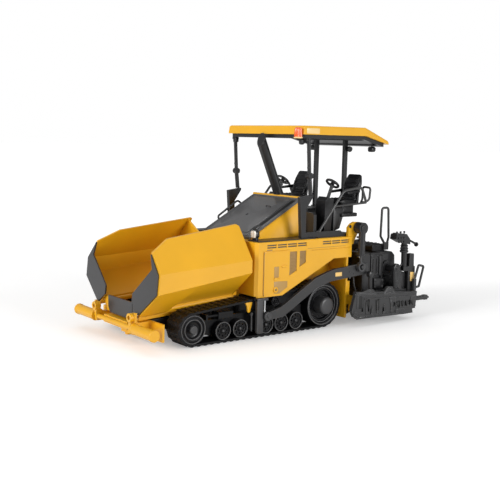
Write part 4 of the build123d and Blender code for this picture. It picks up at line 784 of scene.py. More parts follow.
# %% [markdown]
# The augers spread the asphalt sideways, so their flights are helices, left hand on one side and right hand
# on the other. A flight is a flat ring that moves along the shaft as it turns: y grows with the angle. The
# CAD solid only has half discs there, so this piece stands for it.

# %% Auger
AUGER_X, AUGER_Z, AUGER_RADIUS, AUGER_PITCH = -29.8, 6.6, 3.08, 4.2
AUGER_END = 25.4
FLIGHT_START, FLIGHT_STOP = 1.9, 23.3
STEPS_A_TURN = 28


def flight(hand):
    """Angle a gives y = start + pitch x a / turn; the section is a thin rectangle from shaft to rim."""
    turns = (FLIGHT_STOP - FLIGHT_START) / AUGER_PITCH
    angle = np.linspace(0, 2 * np.pi * turns, int(turns * STEPS_A_TURN))
    section = np.array([(0.6, -0.22), (AUGER_RADIUS - 0.1, -0.2), (AUGER_RADIUS, -0.08),
                        (AUGER_RADIUS, 0.08), (AUGER_RADIUS - 0.1, 0.2), (0.6, 0.22)])
    middle = np.repeat(section.mean(axis=0)[None], len(section), axis=0)
    rings = np.concatenate([[middle], np.repeat(section[None], len(angle), axis=0), [middle]])
    angle = np.concatenate([angle[:1], angle, angle[-1:]])[:, None]
    y = FLIGHT_START + AUGER_PITCH * angle / (2 * np.pi) + rings[..., 1]
    grid = np.stack([AUGER_X + rings[..., 0] * np.cos(angle), hand * y,
                     AUGER_Z + rings[..., 0] * np.sin(angle)], axis=-1)
    return surface(grid, wrap_columns=True)


shaft = turned([(-AUGER_END, 0), (-AUGER_END, 0.8), (AUGER_END, 0.8), (AUGER_END, 0)], AUGER_X, AUGER_Z)
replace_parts(piece("auger_flights", join(shaft, flight(1), flight(-1)), "auger", slot_of["auger"]), "auger")

# %% [markdown]
# The hood lid. It is one sloping sheet of dark enamel, so everything on it is written in its own plane: a
# runs down the slope from its top edge and y goes across. A raised inner panel, a dark channel along the
# near edge and a rolled rim break its surface up; the channel's black is painted shade of a recessed slot.
# The plug, the pull and the catch are what a hand would use.

# %% Hood lid


def in_plane(origin, *ways):
    """The origin plus, for each way, a length or an array of lengths times a direction."""
    return origin + sum(np.asarray(length, float)[..., None] * np.asarray(way, float) for length, way in ways)


LID_TOP = np.array([-8.6, 0.0, 50.9])
LID_FALL = 0.552
LID_DOWN = unit((1, 0, -LID_FALL))
LID_OUT = unit((LID_FALL, 0, 1))
LID = (LID_DOWN, (0, 1, 0), LID_OUT)
RIM_ROUTE = [(0.35, -14.6), (28.3, -14.6), (28.3, 12.6), (23.4, 12.6), (22.2, 14.6), (0.35, 14.6)]


def on_lid(a, y, out=0.0):
    """Top edge plus a down the slope, y across it and out above it; each may be an array."""
    return in_plane(LID_TOP, (a, LID_DOWN), (y, (0, 1, 0)), (out, LID_OUT))


inner_panel = plate([(1.5, -12.3), (28.0, -12.0), (26.3, 11.1), (1.5, 11.1)], -0.2, 0.32, 0.8, 0.22,
                    plane=LID, origin=LID_TOP)
rim_route = rounded(RIM_ROUTE, 0.7, 4, closed=True)
lid_rim = tube(on_lid(*rim_route.T, 0.05), 0.34, LID_OUT, 8, closed=True)
lid_step = slab([(23.6, 13.0), (28.2, 13.0), (28.2, 14.7), (22.6, 14.7)], -0.3, 0.15, LID, 0.1, LID_TOP)
piece("lid_panel", join(inner_panel, lid_rim, lid_step), "machine", "paint_dark", LID_ENAMEL)
# Painted shade: a black strip, nearly flush with the lid, stands for the shade of a recessed slot.
painted_shade_channel = block(1.6, 20.6, 11.7, 14.2, -0.2, 0.08, 0.4, 0.06, LID, LID_TOP)
piece("lid_channel_painted_shade", painted_shade_channel, "machine", "plastic_black", PAINTED_SHADE)
catch = block(21.2, 24.2, 12.2, 14.4, -0.2, 0.75, 0.4, 0.2, LID, LID_TOP)
plug = lathe([(-0.1, 0), (-0.1, 0.62), (0.42, 0.62), (0.5, 0.5), (0.5, 0.3), (0.38, 0.25), (0.38, 0)],
             on_lid(15.1, -2.0), LID_OUT, 20)
pull = tube(on_lid(8.3, (2.9, 3.1, 5.5, 5.7), (0.2, 0.75, 0.75, 0.2)), 0.2, LID_DOWN, 8)
far_rail = tube(rounded([(8.6, -15.7, 40.2), (9.1, -16.0, 42.1), (-0.8, -16.0, 48.3), (-2.4, -16.0, 47.4),
                         (-2.4, -14.8, 46.6)], 0.8), 0.42)
far_rail_foot = tube([(4.1, -16.0, 45.2), (4.1, -15.6, 43.4), (4.1, -14.8, 42.6)], 0.34, (1, 0, 0), 8)
piece("lid_fittings", join(catch, plug, pull, far_rail, far_rail_foot), "machine", "plastic_black")

# %% [markdown]
# The side bodies. The louvres and the two grilles are openings on the real machine, and the model prints
# them, so brown plates with fine bars lie in the grille recesses that the CAD solid leaves. Dark plates
# deep in the louvre slits are painted shade. A bar is a thin tube across the grille, and where the
# grille's foot slopes the bars get shorter.

# %% Louvres and grilles
BODY_FACE = 25.2
LOUVRE_RUNS = ((16.0, 4.5, 4), (-11.6, 4.4, 3))  # front end, length and count
LOUVRE_LOW, LOUVRE_HIGH = 33.6, 34.45
LOUVRE_HEIGHT, LOUVRE_GAP, SLACK = 0.5, 0.5, 0.02
PRINT = finish("printed_brown", (0.46, 0.27, 0.075), 0.42, shade=0.12, grain=2400)
GRILLE = finish("grille_brown", (0.36, 0.21, 0.065), 0.5, shade=0.15, grain=2600)
SHADOW = finish("louvre_shadow", (0.10, 0.075, 0.045), 0.6)
PLATE = finish("blank_plate", (0.86, 0.55, 0.17), 0.35, coat=0.3)
PALE = finish("blank_pale", (0.86, 0.62, 0.28), 0.35, coat=0.3)


def on_body(outline, proud, rim, sunk=0.1):
    """A plate in the side body's face, from sunk inside it to proud outside it."""
    return slab(outline, BODY_FACE - sunk, BODY_FACE + proud, rim=rim)


# Painted shade: dark plates deep in each louvre slit.
slits = []
for start, length, count in LOUVRE_RUNS:
    for k in range(count):
        left = start - (k + 1) * length - k * LOUVRE_GAP
        slits += [on_body(box_outline(left - SLACK, left + length + SLACK, low - SLACK,
                                      low + LOUVRE_HEIGHT + SLACK), -0.1, 0.02, 0.6)
                  for low in (LOUVRE_LOW, LOUVRE_HIGH)]
piece("louvre_shadows", both_sides(join(*slits)), "machine", "paint_yellow", SHADOW)

GRILLES = (
    [(4.55, 31.75), (4.55, 22.65), (1.05, 24.35), (1.05, 31.75)],
    [(-0.45, 31.75), (-0.45, 25.65), (-3.55, 27.35), (-3.55, 31.75)],
)
grille_backs = [on_body(outline, -0.16, 0.02, 0.5) for outline in GRILLES]
bars = []
for (right, top), (_, low_right), (left, low_left), _ in GRILLES:
    levels = np.arange(top - 0.45, low_right, -0.55)
    reach = np.clip((levels - low_right) / (low_left - low_right), 0, 1)
    bars += [tube([(right, BODY_FACE - 0.14, z), (right - t * (right - left), BODY_FACE - 0.14, z)], 0.1,
                  (0, 0, 1), 6) for z, t in zip(levels, reach) if t > 0.1]
piece("grilles", both_sides(join(*grille_backs, *bars)), "machine", "paint_yellow", GRILLE)

# %% [markdown]
# The doors are only seams: a dark hair line with a pale lip behind it, and the step plates beside the catch
# are printed brown as well. A print needs no depth, so it is a plate that stands out of the face by a hair.
# A lip is a low bar with a soft rim, because it only has to catch a line of light.

# %% Doors
LOCK_X, LOCK_Z = 11.3, 17.7
prints = [
    on_body(box_outline(9.8, 12.1, 22.3, 26.5, 0.3), 0.05, 0.03),
    on_body([(12.1, 20.9), (5.5, 20.6), (5.5, 18.3), (9.5, 16.1), (12.0, 16.3)], 0.05, 0.03),
]
piece("printed_panels", both_sides(join(*prints)), "machine", "paint_yellow", PRINT)

hair = [
    on_body(box_outline(17.0, 17.28, 15.5, 32.3), 0.03, 0.02),
    on_body(box_outline(-24.4, -4.3, 32.42, 32.56), 0.02, 0.01),
    on_body(box_outline(15.9, 13.2, 32.75, 33.15), 0.02, 0.01),
    turned([(0.1, 0), (0.1, 0.42), (0.42, 0.42), (0.42, 0)], LOCK_X, LOCK_Z, BODY_FACE, 16),
]
piece("door_seams", both_sides(join(*hair)), "machine", "paint_yellow", GRILLE)

raised = [
    on_body(box_outline(4.9, 17.0, 32.1, 32.45), 0.14, 0.1),
    on_body(box_outline(16.5, 16.95, 15.6, 32.0), 0.1, 0.08),
    on_body(box_outline(6.0, 8.5, 25.9, 26.9, 0.3), 0.35, 0.15),
    on_body(box_outline(9.2, 12.2, 21.4, 22.2, 0.25), 0.35, 0.15),
    turned([(-0.1, 0), (-0.1, 1.15), (0.25, 1.15), (0.38, 1.0), (0.38, 0.55), (0.2, 0.5), (0.2, 0)],
           LOCK_X, LOCK_Z, BODY_FACE),
    on_body([(4.7, 22.3), (0.9, 24.1), (0.9, 24.4), (4.7, 22.6)], 0.12, 0.05),
    on_body([(-0.3, 25.3), (-3.7, 27.0), (-3.7, 27.3), (-0.3, 25.6)], 0.12, 0.05),
]
piece("door_lips", both_sides(join(*raised)), "machine", "paint_yellow")

# %% [markdown]
# The work lamp in front is a black bowl with a pale lens that two thin bars divide. The lamps under the
# roof show only their cases, so one function makes every case: a box with well rounded corners and a
# smaller back.

# %% Lamps
LAMP_Y, LAMP_Z, LAMP_X = 20.0, 38.6, 18.3
REAR_LAMP_Y = 18.3


def round_case(x, y, z, half_y, half_z, depth):
    """A box with well rounded corners that looks along x, with a smaller box behind it."""
    body = block(y - half_y, y + half_y, z - half_z, z + half_z, x - depth, x, 0.75 * min(half_y, half_z),
                 0.35, "x")
    small_y, small_z = 0.7 * half_y, 0.7 * half_z
    back = block(y - small_y, y + small_y, z - small_z, z + small_z, x - depth - 0.5, x - depth + 0.2,
                 0.3 * half_z, 0.3, "x")
    return join(body, back)


front_case = round_case(LAMP_X, LAMP_Y, LAMP_Z, 1.8, 1.65, 1.5)
front_foot = join(
    block(LAMP_Y - 1.3, LAMP_Y + 1.3, 36.3, 37.2, LAMP_X - 1.4, LAMP_X - 0.3, 0.2, 0.1, "x"),
    tube([(LAMP_X - 0.9, LAMP_Y, 36.4), (LAMP_X - 0.9, LAMP_Y, 37.4)], 0.5, sides=10),
)
roof_case = round_case(-2.4, 21.2, 73.4, 1.1, 1.15, 1.3)
rear_cases = [round_case(x, y, 70.8, 1.3, 1.1, 2.2) for x, y in ((-43.0, REAR_LAMP_Y), (-43.3, -REAR_LAMP_Y))]
rear_stems = [tube([(-44.2, y, 71.6), (-44.2, y, 73.2)], 0.3, sides=8) for y in (REAR_LAMP_Y, -REAR_LAMP_Y)]
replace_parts(piece("lamp_cases", join(front_case, front_foot, roof_case, mirrored(roof_case), *rear_cases,
                                     *rear_stems), "machine", "plastic_black"), "lamps")
lens = block(LAMP_Y - 1.5, LAMP_Y + 1.5, LAMP_Z - 1.38, LAMP_Z + 1.38, LAMP_X - 0.4, LAMP_X + 0.42, 0.9, 0.4,
             "x")
piece("lamp_lens", lens, "machine", "lamp_white")
dividers = [tube([(LAMP_X + 0.42, LAMP_Y + y, LAMP_Z - 1.3), (LAMP_X + 0.42, LAMP_Y + y, LAMP_Z + 1.3)], 0.09,
                 sides=6) for y in (-0.5, 0.45)]
piece("lamp_bars", join(*dividers), "machine", "lamp_white", PRINT)

# %% [markdown]
# The beacon's lens is a lathe whose radius ripples round it, as a moulded lens does so that it throws its
# light about: r = r0 (1 + 0.05 cos 14 angle). The dome above the ripples stays smooth.

# %% Beacon
BEACON = (0.2, 22.8, 74.6)
RIPPLES, RIPPLE_DEPTH, RIPPLE_TOP = 14, 0.05, 3.6
lens_profile = np.array([(0.55, 0), (0.55, 1.5), (0.9, 1.5), (2.4, 1.45), (3.5, 1.38), (3.95, 1.2),
                         (4.15, 0.8), (4.2, 0)])
lens_height, lens_radius = lens_profile[:, :1], lens_profile[:, 1:]
around = np.linspace(0, 2 * np.pi, 6 * RIPPLES, endpoint=False)
rippled = lens_radius * (1 + RIPPLE_DEPTH * np.cos(RIPPLES * around)[None] * (lens_height < RIPPLE_TOP))
lens_grid = np.stack([BEACON[0] + rippled * np.cos(around), BEACON[1] + rippled * np.sin(around),
                      BEACON[2] + np.repeat(lens_height, len(around), axis=1)], axis=-1)
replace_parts(piece("beacon_lens", surface(lens_grid, wrap_columns=True), "machine", "lens_orange"), "beacon")
base = upright([(0, 0), (0, 1.6), (0.15, 1.75), (0.45, 1.75), (0.6, 1.55), (0.6, 0)], *BEACON, 32)
piece("beacon_base", base, "machine", "lens_orange", PALE)

# %% [markdown]
# The roof. Its side has a pale blank plate near the front corner. A round lamp hangs on the near rear post,
# and the front posts carry small clamps, as they do where hoses are tied to them, and a knuckle at the
# joint.

# %% Roof and posts
patch = block(-9.7, -3.1, 76.5, 78.6, 23.9, 24.06, 0.5, 0.04)
piece("roof_plate", both_sides(patch), "machine", "paint_yellow", PALE)
post_lamp = join(
    lathe([(-1.1, 0), (-1.1, 0.7), (-0.6, 1.1), (0.5, 1.2), (0.7, 1.05), (0.7, 0)], (-39.2, 10.2, 70.7),
          (0.3, 1, -0.2), 24),
    tube([(-38.4, 9.0, 71.4), (-39.0, 9.8, 71.0)], 0.35, sides=8),
)
clamps = [block(x - 0.6, x + 0.6, z - 0.3, z + 0.3, 22.9, 24.1, 0.15)
          for x, z in ((-5.75, 57.5), (-5.2, 63.5), (-4.9, 69.5))]
knuckle = turned([(23.0, 0), (23.0, 0.75), (23.9, 0.75), (24.05, 0.55), (24.05, 0)], -5.5, 60.4, steps=20)
piece("post_fittings", join(post_lamp, both_sides(join(*clamps, knuckle))), "machine", "plastic_black")

# %% [markdown]
# The seats are moulded as one thing on the model: a cushion with rolled edges, a back with cut upper
# corners and five soft ribs, two armrests and a low pedestal. The back leans, so it is drawn flat in its
# own leaning plane.

# %% Seats
SEAT_Y = 15.8
BACK_FOOT = np.array([-34.1, SEAT_Y, 49.2])
BACK_UP = unit((-0.31, 0, 0.95))
BACK_OUT = np.cross((0, 1, 0), BACK_UP)
BACK = ((0, 1, 0), BACK_UP, BACK_OUT)


def on_back(y, up, out):
    """The back's foot plus y across it, up along it and out in front of it; each may be an array."""
    return in_plane(BACK_FOOT, (up, BACK_UP), (out, BACK_OUT), (y, (0, 1, 0)))


def seat_back():
    """Leaning slab with five ribs across and a bolster at each side."""
    back = plate([(-4.3, 0), (4.3, 0), (4.7, 8.0), (3.3, 11.8), (-3.3, 11.8), (-4.7, 8.0)],
                 -0.8, 0.7, 0.7, 0.5, plane=BACK, origin=BACK_FOOT)
    ribs = [tube(on_back((-2.9, -2.6, 2.6, 2.9), up, 0.62), [0.15, 0.42, 0.42, 0.15], BACK_UP, 10)
            for up in (2.4, 4.2, 6.0, 7.8, 9.6)]
    bolsters = [tube(on_back(y, (1.2, 2.0, 7.0, 8.0), 0.6), [0.3, 0.65, 0.6, 0.25], (0, 1, 0), 10)
                for y in (-3.7, 3.7)]
    return join(back, *ribs, *bolsters)


def seat():
    """Cushion with its seams, back, armrests on stalks, pedestal and foot of the left seat."""
    cushion = plate([(-35.0, 48.0), (-26.6, 48.2), (-26.0, 49.7), (-27.4, 50.7), (-34.6, 50.2)],
                    SEAT_Y - 4.5, SEAT_Y + 4.5, 0.6, 0.7)
    seams = [tube([(x, SEAT_Y - 3.6, 50.55), (x, SEAT_Y + 3.6, 50.55)], 0.3, (0, 0, 1), 8)
             for x in (-32, -30, -28)]
    arms = [plate([(-35.4, 53.1), (-28.6, 52.6), (-28.3, 53.6), (-35.6, 54.4)], SEAT_Y + y - 0.45,
                  SEAT_Y + y + 0.45, 0.35, 0.25, 3) for y in (-5.0, 5.0)]
    stalks = [tube([(-34.6, SEAT_Y + y, 49.0), (-34.9, SEAT_Y + y, 53.4)], 0.45, sides=8)
              for y in (-4.9, 4.9)]
    pedestal = block(-34.2, -27.6, 44.6, 48.2, SEAT_Y - 3.2, SEAT_Y + 3.2, 0.5, 0.3)
    foot = block(-35.4, -26.8, 43.4, 44.9, SEAT_Y - 4.3, SEAT_Y + 4.3, 0.3, 0.25)
    return join(cushion, seat_back(), *seams, *arms, *stalks, pedestal, foot)


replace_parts(piece("seats_dressed", both_sides(seat()), "machine", "seat_black"), "seats")

# %% [markdown]
# The lift cylinders and the tow arms. A cylinder ends in an eye, whose pin is held by a dark cap, and in a
# gland nut round the chrome rod; two ports take the hoses. The arm's foot turns on a big capped pin, and
# small blank plates lie on the arm and on the shoulder.

# %% Cylinders and tow arms
EAR_X, EAR_Z, CYLINDER_Y = -30.8, 39.4, 27.1
TOW_X, TOW_Z = 16.3, 8.4
ARM_FACE = 27.2
PLATE_PROUD, PLATE_RIM = 0.05, 0.03
eye_cap = turned([(28.7, 0), (28.7, 1.5), (29.15, 1.5), (29.35, 1.25), (29.35, 0.5), (29.25, 0)],
                 EAR_X, EAR_Z, steps=32)
gland = upright([(28.0, 0), (28.0, 1.5), (28.2, 1.6), (29.6, 1.6), (29.8, 1.5), (29.8, 0)], EAR_X, CYLINDER_Y,
                steps=6)
band = upright([(35.4, 0), (35.4, 1.58), (36.0, 1.58), (36.0, 0)], EAR_X, CYLINDER_Y, steps=28)
ports = [tube([(EAR_X + 1.2, CYLINDER_Y, z), (EAR_X + 2.2, CYLINDER_Y, z)], 0.45, sides=8)
         for z in (34.6, 30.6)]
pair("barrel_trim", join(eye_cap, gland, band, *ports), "lift_barrel", "plastic_black")

pin_cap = turned([(-0.2, 0), (-0.2, 1.75), (0.35, 1.75), (0.55, 1.5), (0.55, 0.6), (0.85, 0.55), (0.85, 0)],
                 TOW_X, TOW_Z, ARM_FACE, 32)
arm_bolts = bolts([(x, ARM_FACE, z) for x, z in ((-25.6, 19.6), (-25.6, 22.0), (-28.0, 20.8))], 0.34)
piece("arm_fittings", both_sides(join(pin_cap, arm_bolts)), "screed", "paint_dark")
arm_plate = block(-21.1, -17.6, 20.7, 22.3, ARM_FACE - 0.1, ARM_FACE + PLATE_PROUD, 0.2, PLATE_RIM)
shoulder_plate = slab([(-34.5, 24.4), (-36.2, 24.3), (-36.5, 20.5), (-34.7, 20.7)], 25.6, 26.05,
                      rim=PLATE_RIM)
piece("arm_plates", both_sides(join(arm_plate, shoulder_plate)), "screed", "paint_yellow", PLATE)

# %% [markdown]
# The hopper's apron. Between the fixed centre plate and the near flap a dark corner plate closes the gap at
# the fold line, and the round lugs of the push beam stand in front of it.

# %% Apron corner
corner = slab([(8.6, 15.3), (10.4, 15.4), (15.4, 11.6), (11.6, 10.2), (7.6, 8.9), (8.0, 12.0)],
              63.05, 63.6, "x", 0.1)
piece("apron_corner", corner, "machine", "paint_dark")

# %% [markdown]
# The screed's houses and its rear body. A row of covers, each with a rolled edge, hides the burners and the
# tampers. The rear body between the houses carries the walkway, and it closes the view under the deck. Its
# back has one panel at six places, and thin tubes make the strips of the deck.

# %% Screed covers
HOUSE_FACE = 25.15
REAR_PANEL_Y = (-19.2, -12.0, -4.2, 4.2, 12.0, 19.2)
CAP_OUTLINE = [(-48.2, 14.0), (-54.6, 14.0), (-54.6, 18.0), (-48.2, 18.0)]


def cover(corners, thick):
    """A lid with rounded corners and rolled edge, proud of the house's face by its thickness."""
    return plate(corners, HOUSE_FACE - 0.2, HOUSE_FACE + thick, 0.5, 0.3)


def house_bolts(out, xs, zs):
    """A bolt at every crossing of the rows and columns."""
    return bolts([(x, HOUSE_FACE + out, z) for x in xs for z in zs])


house_covers = join(
    cover([(-39.0, 28.0), (-43.2, 27.6), (-43.6, 18.8), (-39.2, 19.1)], 0.45),
    cover([(-43.9, 27.3), (-46.2, 27.2), (-46.2, 18.8), (-44.2, 18.8)], 0.45),
    cover([(-41.0, 18.0), (-46.4, 17.5), (-46.4, 13.4), (-41.2, 13.5)], 0.8),
    tube([(-38.6, HOUSE_FACE + 0.1, 28.1), (-46.3, HOUSE_FACE + 0.1, 28.0)], 0.42, (0, 0, 1), 8),
    *[tube([(x, HOUSE_FACE + 0.6, 20.0), (x, HOUSE_FACE + 0.6, 26.2)], 0.28, sides=8)
      for x in (-40.2, -42.4)],
    house_bolts(0.45, (-39.6, -43.0), (19.6, 27.0)),
    house_bolts(0.8, (-41.8, -45.8), (14.2, 16.8)),
)
rear_body = join(
    plate([(-46.6, 13.0), (-55.4, 13.0), (-56.2, 15.0), (-55.4, 26.6), (-53.6, 28.2), (-46.6, 28.2)],
          -23.4, 23.4, 0.5, 0.4),
    plate(CAP_OUTLINE, 23.2, 24.3, 0.4, 0.3),
    plate(CAP_OUTLINE, -24.3, -23.2, 0.4, 0.3),
)
rear_panels = [block(y - 3.1, y + 3.1, 15.6, 25.8, -56.4, -55.4, 0.5, 0.25, "x") for y in REAR_PANEL_Y]
deck_strips = [tube([(-46.4, y, 30.75), (-53.4, y, 30.75)], 0.22, sides=6) for y in np.linspace(-18, 18, 19)]
deck_bolts = bolts(np.vstack([np.linspace((x, -18.6, 30.6), (x, 18.6, 30.6), 9) for x in (-46.2, -53.7)]),
                   axis=(0, 0, 1))
piece("screed_covers", join(both_sides(house_covers), rear_body, *rear_panels, *deck_strips, deck_bolts),
      "screed", "paint_dark", SCREED_BLACK)

# %% [markdown]
# Tread on the walkway. Raised studs in a staggered grid keep a boot from slipping. They are written as
# places in two grids, the second shifted by half a step, and one small six-sided stud is copied to all of
# them.

# %% Treads
stud = upright([(-0.05, 0), (-0.05, 0.3), (0.14, 0.2), (0.14, 0)], 0, 0, steps=6)


def stud_places(x0, x1, y0, y1, z, step):
    """Two grids of places, the second half a step further along and across."""
    x, y = np.meshgrid(np.arange(x0, x1, step), np.arange(y0, y1, step))
    first = np.stack([x.ravel(), y.ravel(), np.full(x.size, z)], axis=1)
    second = first + (step / 2, step / 2, 0)
    return np.vstack([first, second[(second[:, 0] < x1) & (second[:, 1] < y1)]])


walkway_studs = copies(stud, stud_places(-59.4, -56.8, -25.6, 25.8, 12.8, 1.3))
piece("walkway_studs", walkway_studs, "screed", "paint_dark", SCREED_BLACK)
deck_studs = copies(stud, stud_places(-22.4, -12.2, -21.4, -7.0, 37.4, 1.5))
piece("platform_studs", both_sides(deck_studs), "machine", "plastic_black")

# %% [markdown]
# The end gate has cast blocks on its top edge, a skid rod along its foot and stiffening ribs between its
# slots, so that light catches it in many small places. All of them are drawn in the gate's face, as x and
# z.

# %% End gates
GATE_FACE = 31.5
GATE_BACK = 30.3


def on_gate(places, out=0.05):
    """Places in the gate's face, given as x and z, moved out of it."""
    return [(x, GATE_FACE + out, z) for x, z in places]


def gate_details():
    """Castings, ribs, clamps and skid rod of the left end gate."""
    castings = [slab(outline, GATE_BACK, GATE_FACE + 0.25, rim=0.2) for outline in (
        [(-25.2, 12.4), (-25.6, 13.9), (-29.9, 14.3), (-32.0, 15.1), (-34.9, 14.7), (-36.4, 13.3),
         (-37.0, 12.0)],
        [(-40.6, 11.8), (-41.2, 13.1), (-43.3, 15.2), (-46.0, 15.0), (-47.2, 13.0), (-47.8, 11.6)],
    )]
    skid = rounded(on_gate([(-24.9, 6.0), (-24.2, 4.4), (-26.2, 3.5), (-54.2, 2.9)], -0.1), 0.8)
    rails = [
        tube(on_gate([(-24.4, 13.6), (-37.0, 12.6), (-60.6, 11.4)], 0.1), 0.3, sides=8),
        tube(on_gate([(-30.0, 11.2), (-60.2, 9.9)]), 0.22, sides=8),
        tube(skid, 0.36, sides=8),
    ]
    posts = [tube(on_gate([(x, 3.4), (x, top)]), 0.3, sides=6) for x, top in (
        (-31.0, 9.8), (-34.6, 8.0), (-37.4, 9.6), (-41.6, 7.8), (-45.6, 9.4), (-49.0, 7.6))]
    feet = [block(x - 0.8, x + 0.8, 3.2, 5.0, GATE_FACE - 0.2, GATE_FACE + 0.35, 0.2, 0.15)
            for x in (-26.6, -34.6, -41.6, -49.0)]
    panels = [block(*edges, GATE_FACE - 0.2, GATE_FACE + 0.2, 0.2) for edges in (
        (-48.2, -44.6, 8.2, 10.8), (-29.4, -25.8, 7.6, 12.4), (-60.4, -49.4, 4.4, 5.2),
        (-60.4, -57.4, 7.6, 10.4))]
    heads = bolts(on_gate([(-33.0, 14.0), (-44.6, 14.0), (-26.6, 12.9), (-35.4, 12.9), (-42.0, 12.6),
                           (-46.6, 12.5)], 0.25), 0.34)
    return join(*castings, *rails, *posts, *feet, *panels, heads)


print(len(gate_details()[0]), "points on a gate")

# %% [markdown]
# The extension's side. A strap holds the guide tube's end with one big bolt, a link stands between the arm
# and the gate, and a bent hose rod runs in front of it. They sit at different depths behind the gate, so
# each shape carries its own y, and the mirrored copy serves the other side.

# %% Extensions
STRAP_Y = 29.4
TUBE_X, TUBE_Z = -50.2, 22.0
BOX_Y = 25.2


def extension_details():
    """Strap with its bolts, the box behind it and the bent pipe beside it, of the left extension."""
    return join(
        turned([(0, 0), (0, 1.9), (0.4, 1.9), (0.55, 1.7), (0.55, 0.9), (0.9, 0.85), (0.95, 0)],
               TUBE_X, TUBE_Z, STRAP_Y, 28),
        plate([(-49.2, 20.4), (-51.6, 20.4), (-52.2, 13.2), (-49.6, 13.2)], STRAP_Y, STRAP_Y + 0.45, 0.3,
              steps=3),
        bolts([(-50.6, STRAP_Y + 0.45, 16.4), (-51.0, STRAP_Y + 0.45, 13.9)], 0.4, 0.35),
        plate([(-48.6, 12.8), (-48.6, 11.2), (-57.0, 11.2), (-57.0, 12.8)], BOX_Y, STRAP_Y, 0.3, 0.2, 3),
        plate([(-53.4, 12.6), (-56.8, 12.6), (-56.8, 19.6), (-53.8, 20.6)], BOX_Y, 28.4, 0.4, 0.25, 3),
        tube([(-52.6, 28.6, 12.0), (-52.9, 28.6, 22.0), (-54.6, 28.3, 23.6)], 0.35, sides=8),
    )


for side, hand in (("left", lambda shape: shape), ("right", mirrored)):
    body = "extension_" + side
    piece("gate_castings_" + side, hand(gate_details()), body, "paint_dark", GATE_ENAMEL)
    piece("extension_fittings_" + side, hand(extension_details()), body, "paint_dark", SCREED_BLACK)
gate_link = join(
    tube([(-35.0, 29.2, 21.0), (-35.4, 29.2, 12.6)], 0.75, sides=10),
    turned([(28.4, 0), (28.4, 1.3), (30.0, 1.3), (30.15, 1.1), (30.15, 0)], -35.0, 20.6, steps=20),
)
bent_rod = tube(rounded([(-27.8, 27.0, 19.6), (-27.9, 27.2, 17.0), (-29.3, 27.2, 13.4)], 0.8), 0.34, sides=8)
piece("screed_links", both_sides(join(gate_link, bent_rod)), "screed", "paint_dark", SCREED_BLACK)
column_plate = slab([(-58.5, 19.8), (-61.0, 19.6), (-61.3, 15.7), (-58.7, 15.9)], STRAP_Y, STRAP_Y + 0.28,
                    rim=PLATE_RIM)
pair("blank_plate", column_plate, "extension", "paint_yellow", PLATE)

# %% [markdown]
# The operator's side console. Its head is a sloping box with a screen, three short levers with balls and a
# row of knobs, under a small hood, and it stands on a ribbed rubber boot.

# %% Side consoles
LEVER_X = (-50.6, -52.8, -55.0)
CONSOLE_Y = 28.3


def console_fittings():
    """Levers, knobs, hood and boot of the left console, and a small hand wheel to the rear of it."""
    levers = [tube([(x, CONSOLE_Y, 35.4), (x - 0.2, CONSOLE_Y, 36.6)], [0.25, 0.22], sides=8)
              for x in LEVER_X]
    balls = [upright([(-0.5, 0), (-0.35, 0.35), (0, 0.5), (0.35, 0.35), (0.5, 0)],
                     x - 0.2, CONSOLE_Y, 36.8, 12) for x in LEVER_X]
    knobs = [turned([(0, 0), (0, 0.45), (0.5, 0.38), (0.5, 0)], x, z, 30.0, 12)
             for x in (-50.2, -51.8, -53.4) for z in (33.0, 34.6)]
    hood = plate([(-48.6, 35.4), (-49.8, 36.7), (-51.2, 36.6), (-51.0, 35.2)], 26.7, 29.9, 0.3, 0.25, 3)
    boot = upright([(0, 0), (0, 1.7), (0.6, 1.9), (1.1, 1.5), (1.7, 1.8), (2.2, 1.4), (2.8, 1.65), (3.3, 1.3),
                    (3.3, 0)], -55.6, CONSOLE_Y, 28.2)
    wheel = lathe([(0, 0), (0, 0.9), (0.5, 1.0), (0.9, 0.8), (0.9, 0)], (-62.2, 28.7, 31.3),
                  (-0.9, 0, -0.2), 16)
    return join(*levers, *balls, *knobs, hood, boot, wheel)


pair("console_fittings", console_fittings(), "extension", "plastic_black")
print("balls on", len(LEVER_X), "levers a side")

# %% [markdown]
# The gate's slots read as black, because nothing behind them catches light. Thin black plates of the same
# outlines lie in the face; the row of four near the rear are pointed, like the openings of a tamper guard.

# %% Gate slots
GATE_SLOTS = (
    [(-26.8, 12.6), (-28.5, 12.4), (-28.8, 7.3), (-27.0, 7.5)],
    [(-31.3, 10.5), (-32.4, 10.4), (-32.5, 8.0), (-31.4, 8.1)],
    [(-36.6, 10.2), (-38.4, 10.0), (-38.2, 5.6), (-36.9, 5.7)],
    [(-48.9, 8.4), (-50.6, 8.3), (-49.9, 5.8)],
    [(-51.6, 8.3), (-53.3, 8.1), (-52.6, 5.8)],
    [(-54.2, 8.2), (-55.9, 8.0), (-55.2, 5.8)],
    [(-56.9, 8.1), (-58.4, 8.0), (-58.9, 5.9)],
    [(-41.3, 6.6), (-42.2, 6.6), (-42.2, 4.6), (-41.3, 4.6)],
    [(-33.6, 6.8), (-34.4, 6.8), (-34.4, 4.4), (-33.6, 4.4)],
)
slots = join(*[slab(outline, GATE_FACE - 0.1, GATE_FACE + 0.27, rim=0.03) for outline in GATE_SLOTS])
pair("gate_slots", slots, "extension", "paint_dark", PAINTED_SHADE)

# %% [markdown]
# The tow column. The tow arm's pin seats in a stub that the column carries, and a bright screwed rod beside
# it sets the height of the tow point, which is how the mat's thickness is chosen. A yellow bracket and a
# thin guard rod stand in front of it, in the gap of the track frame.

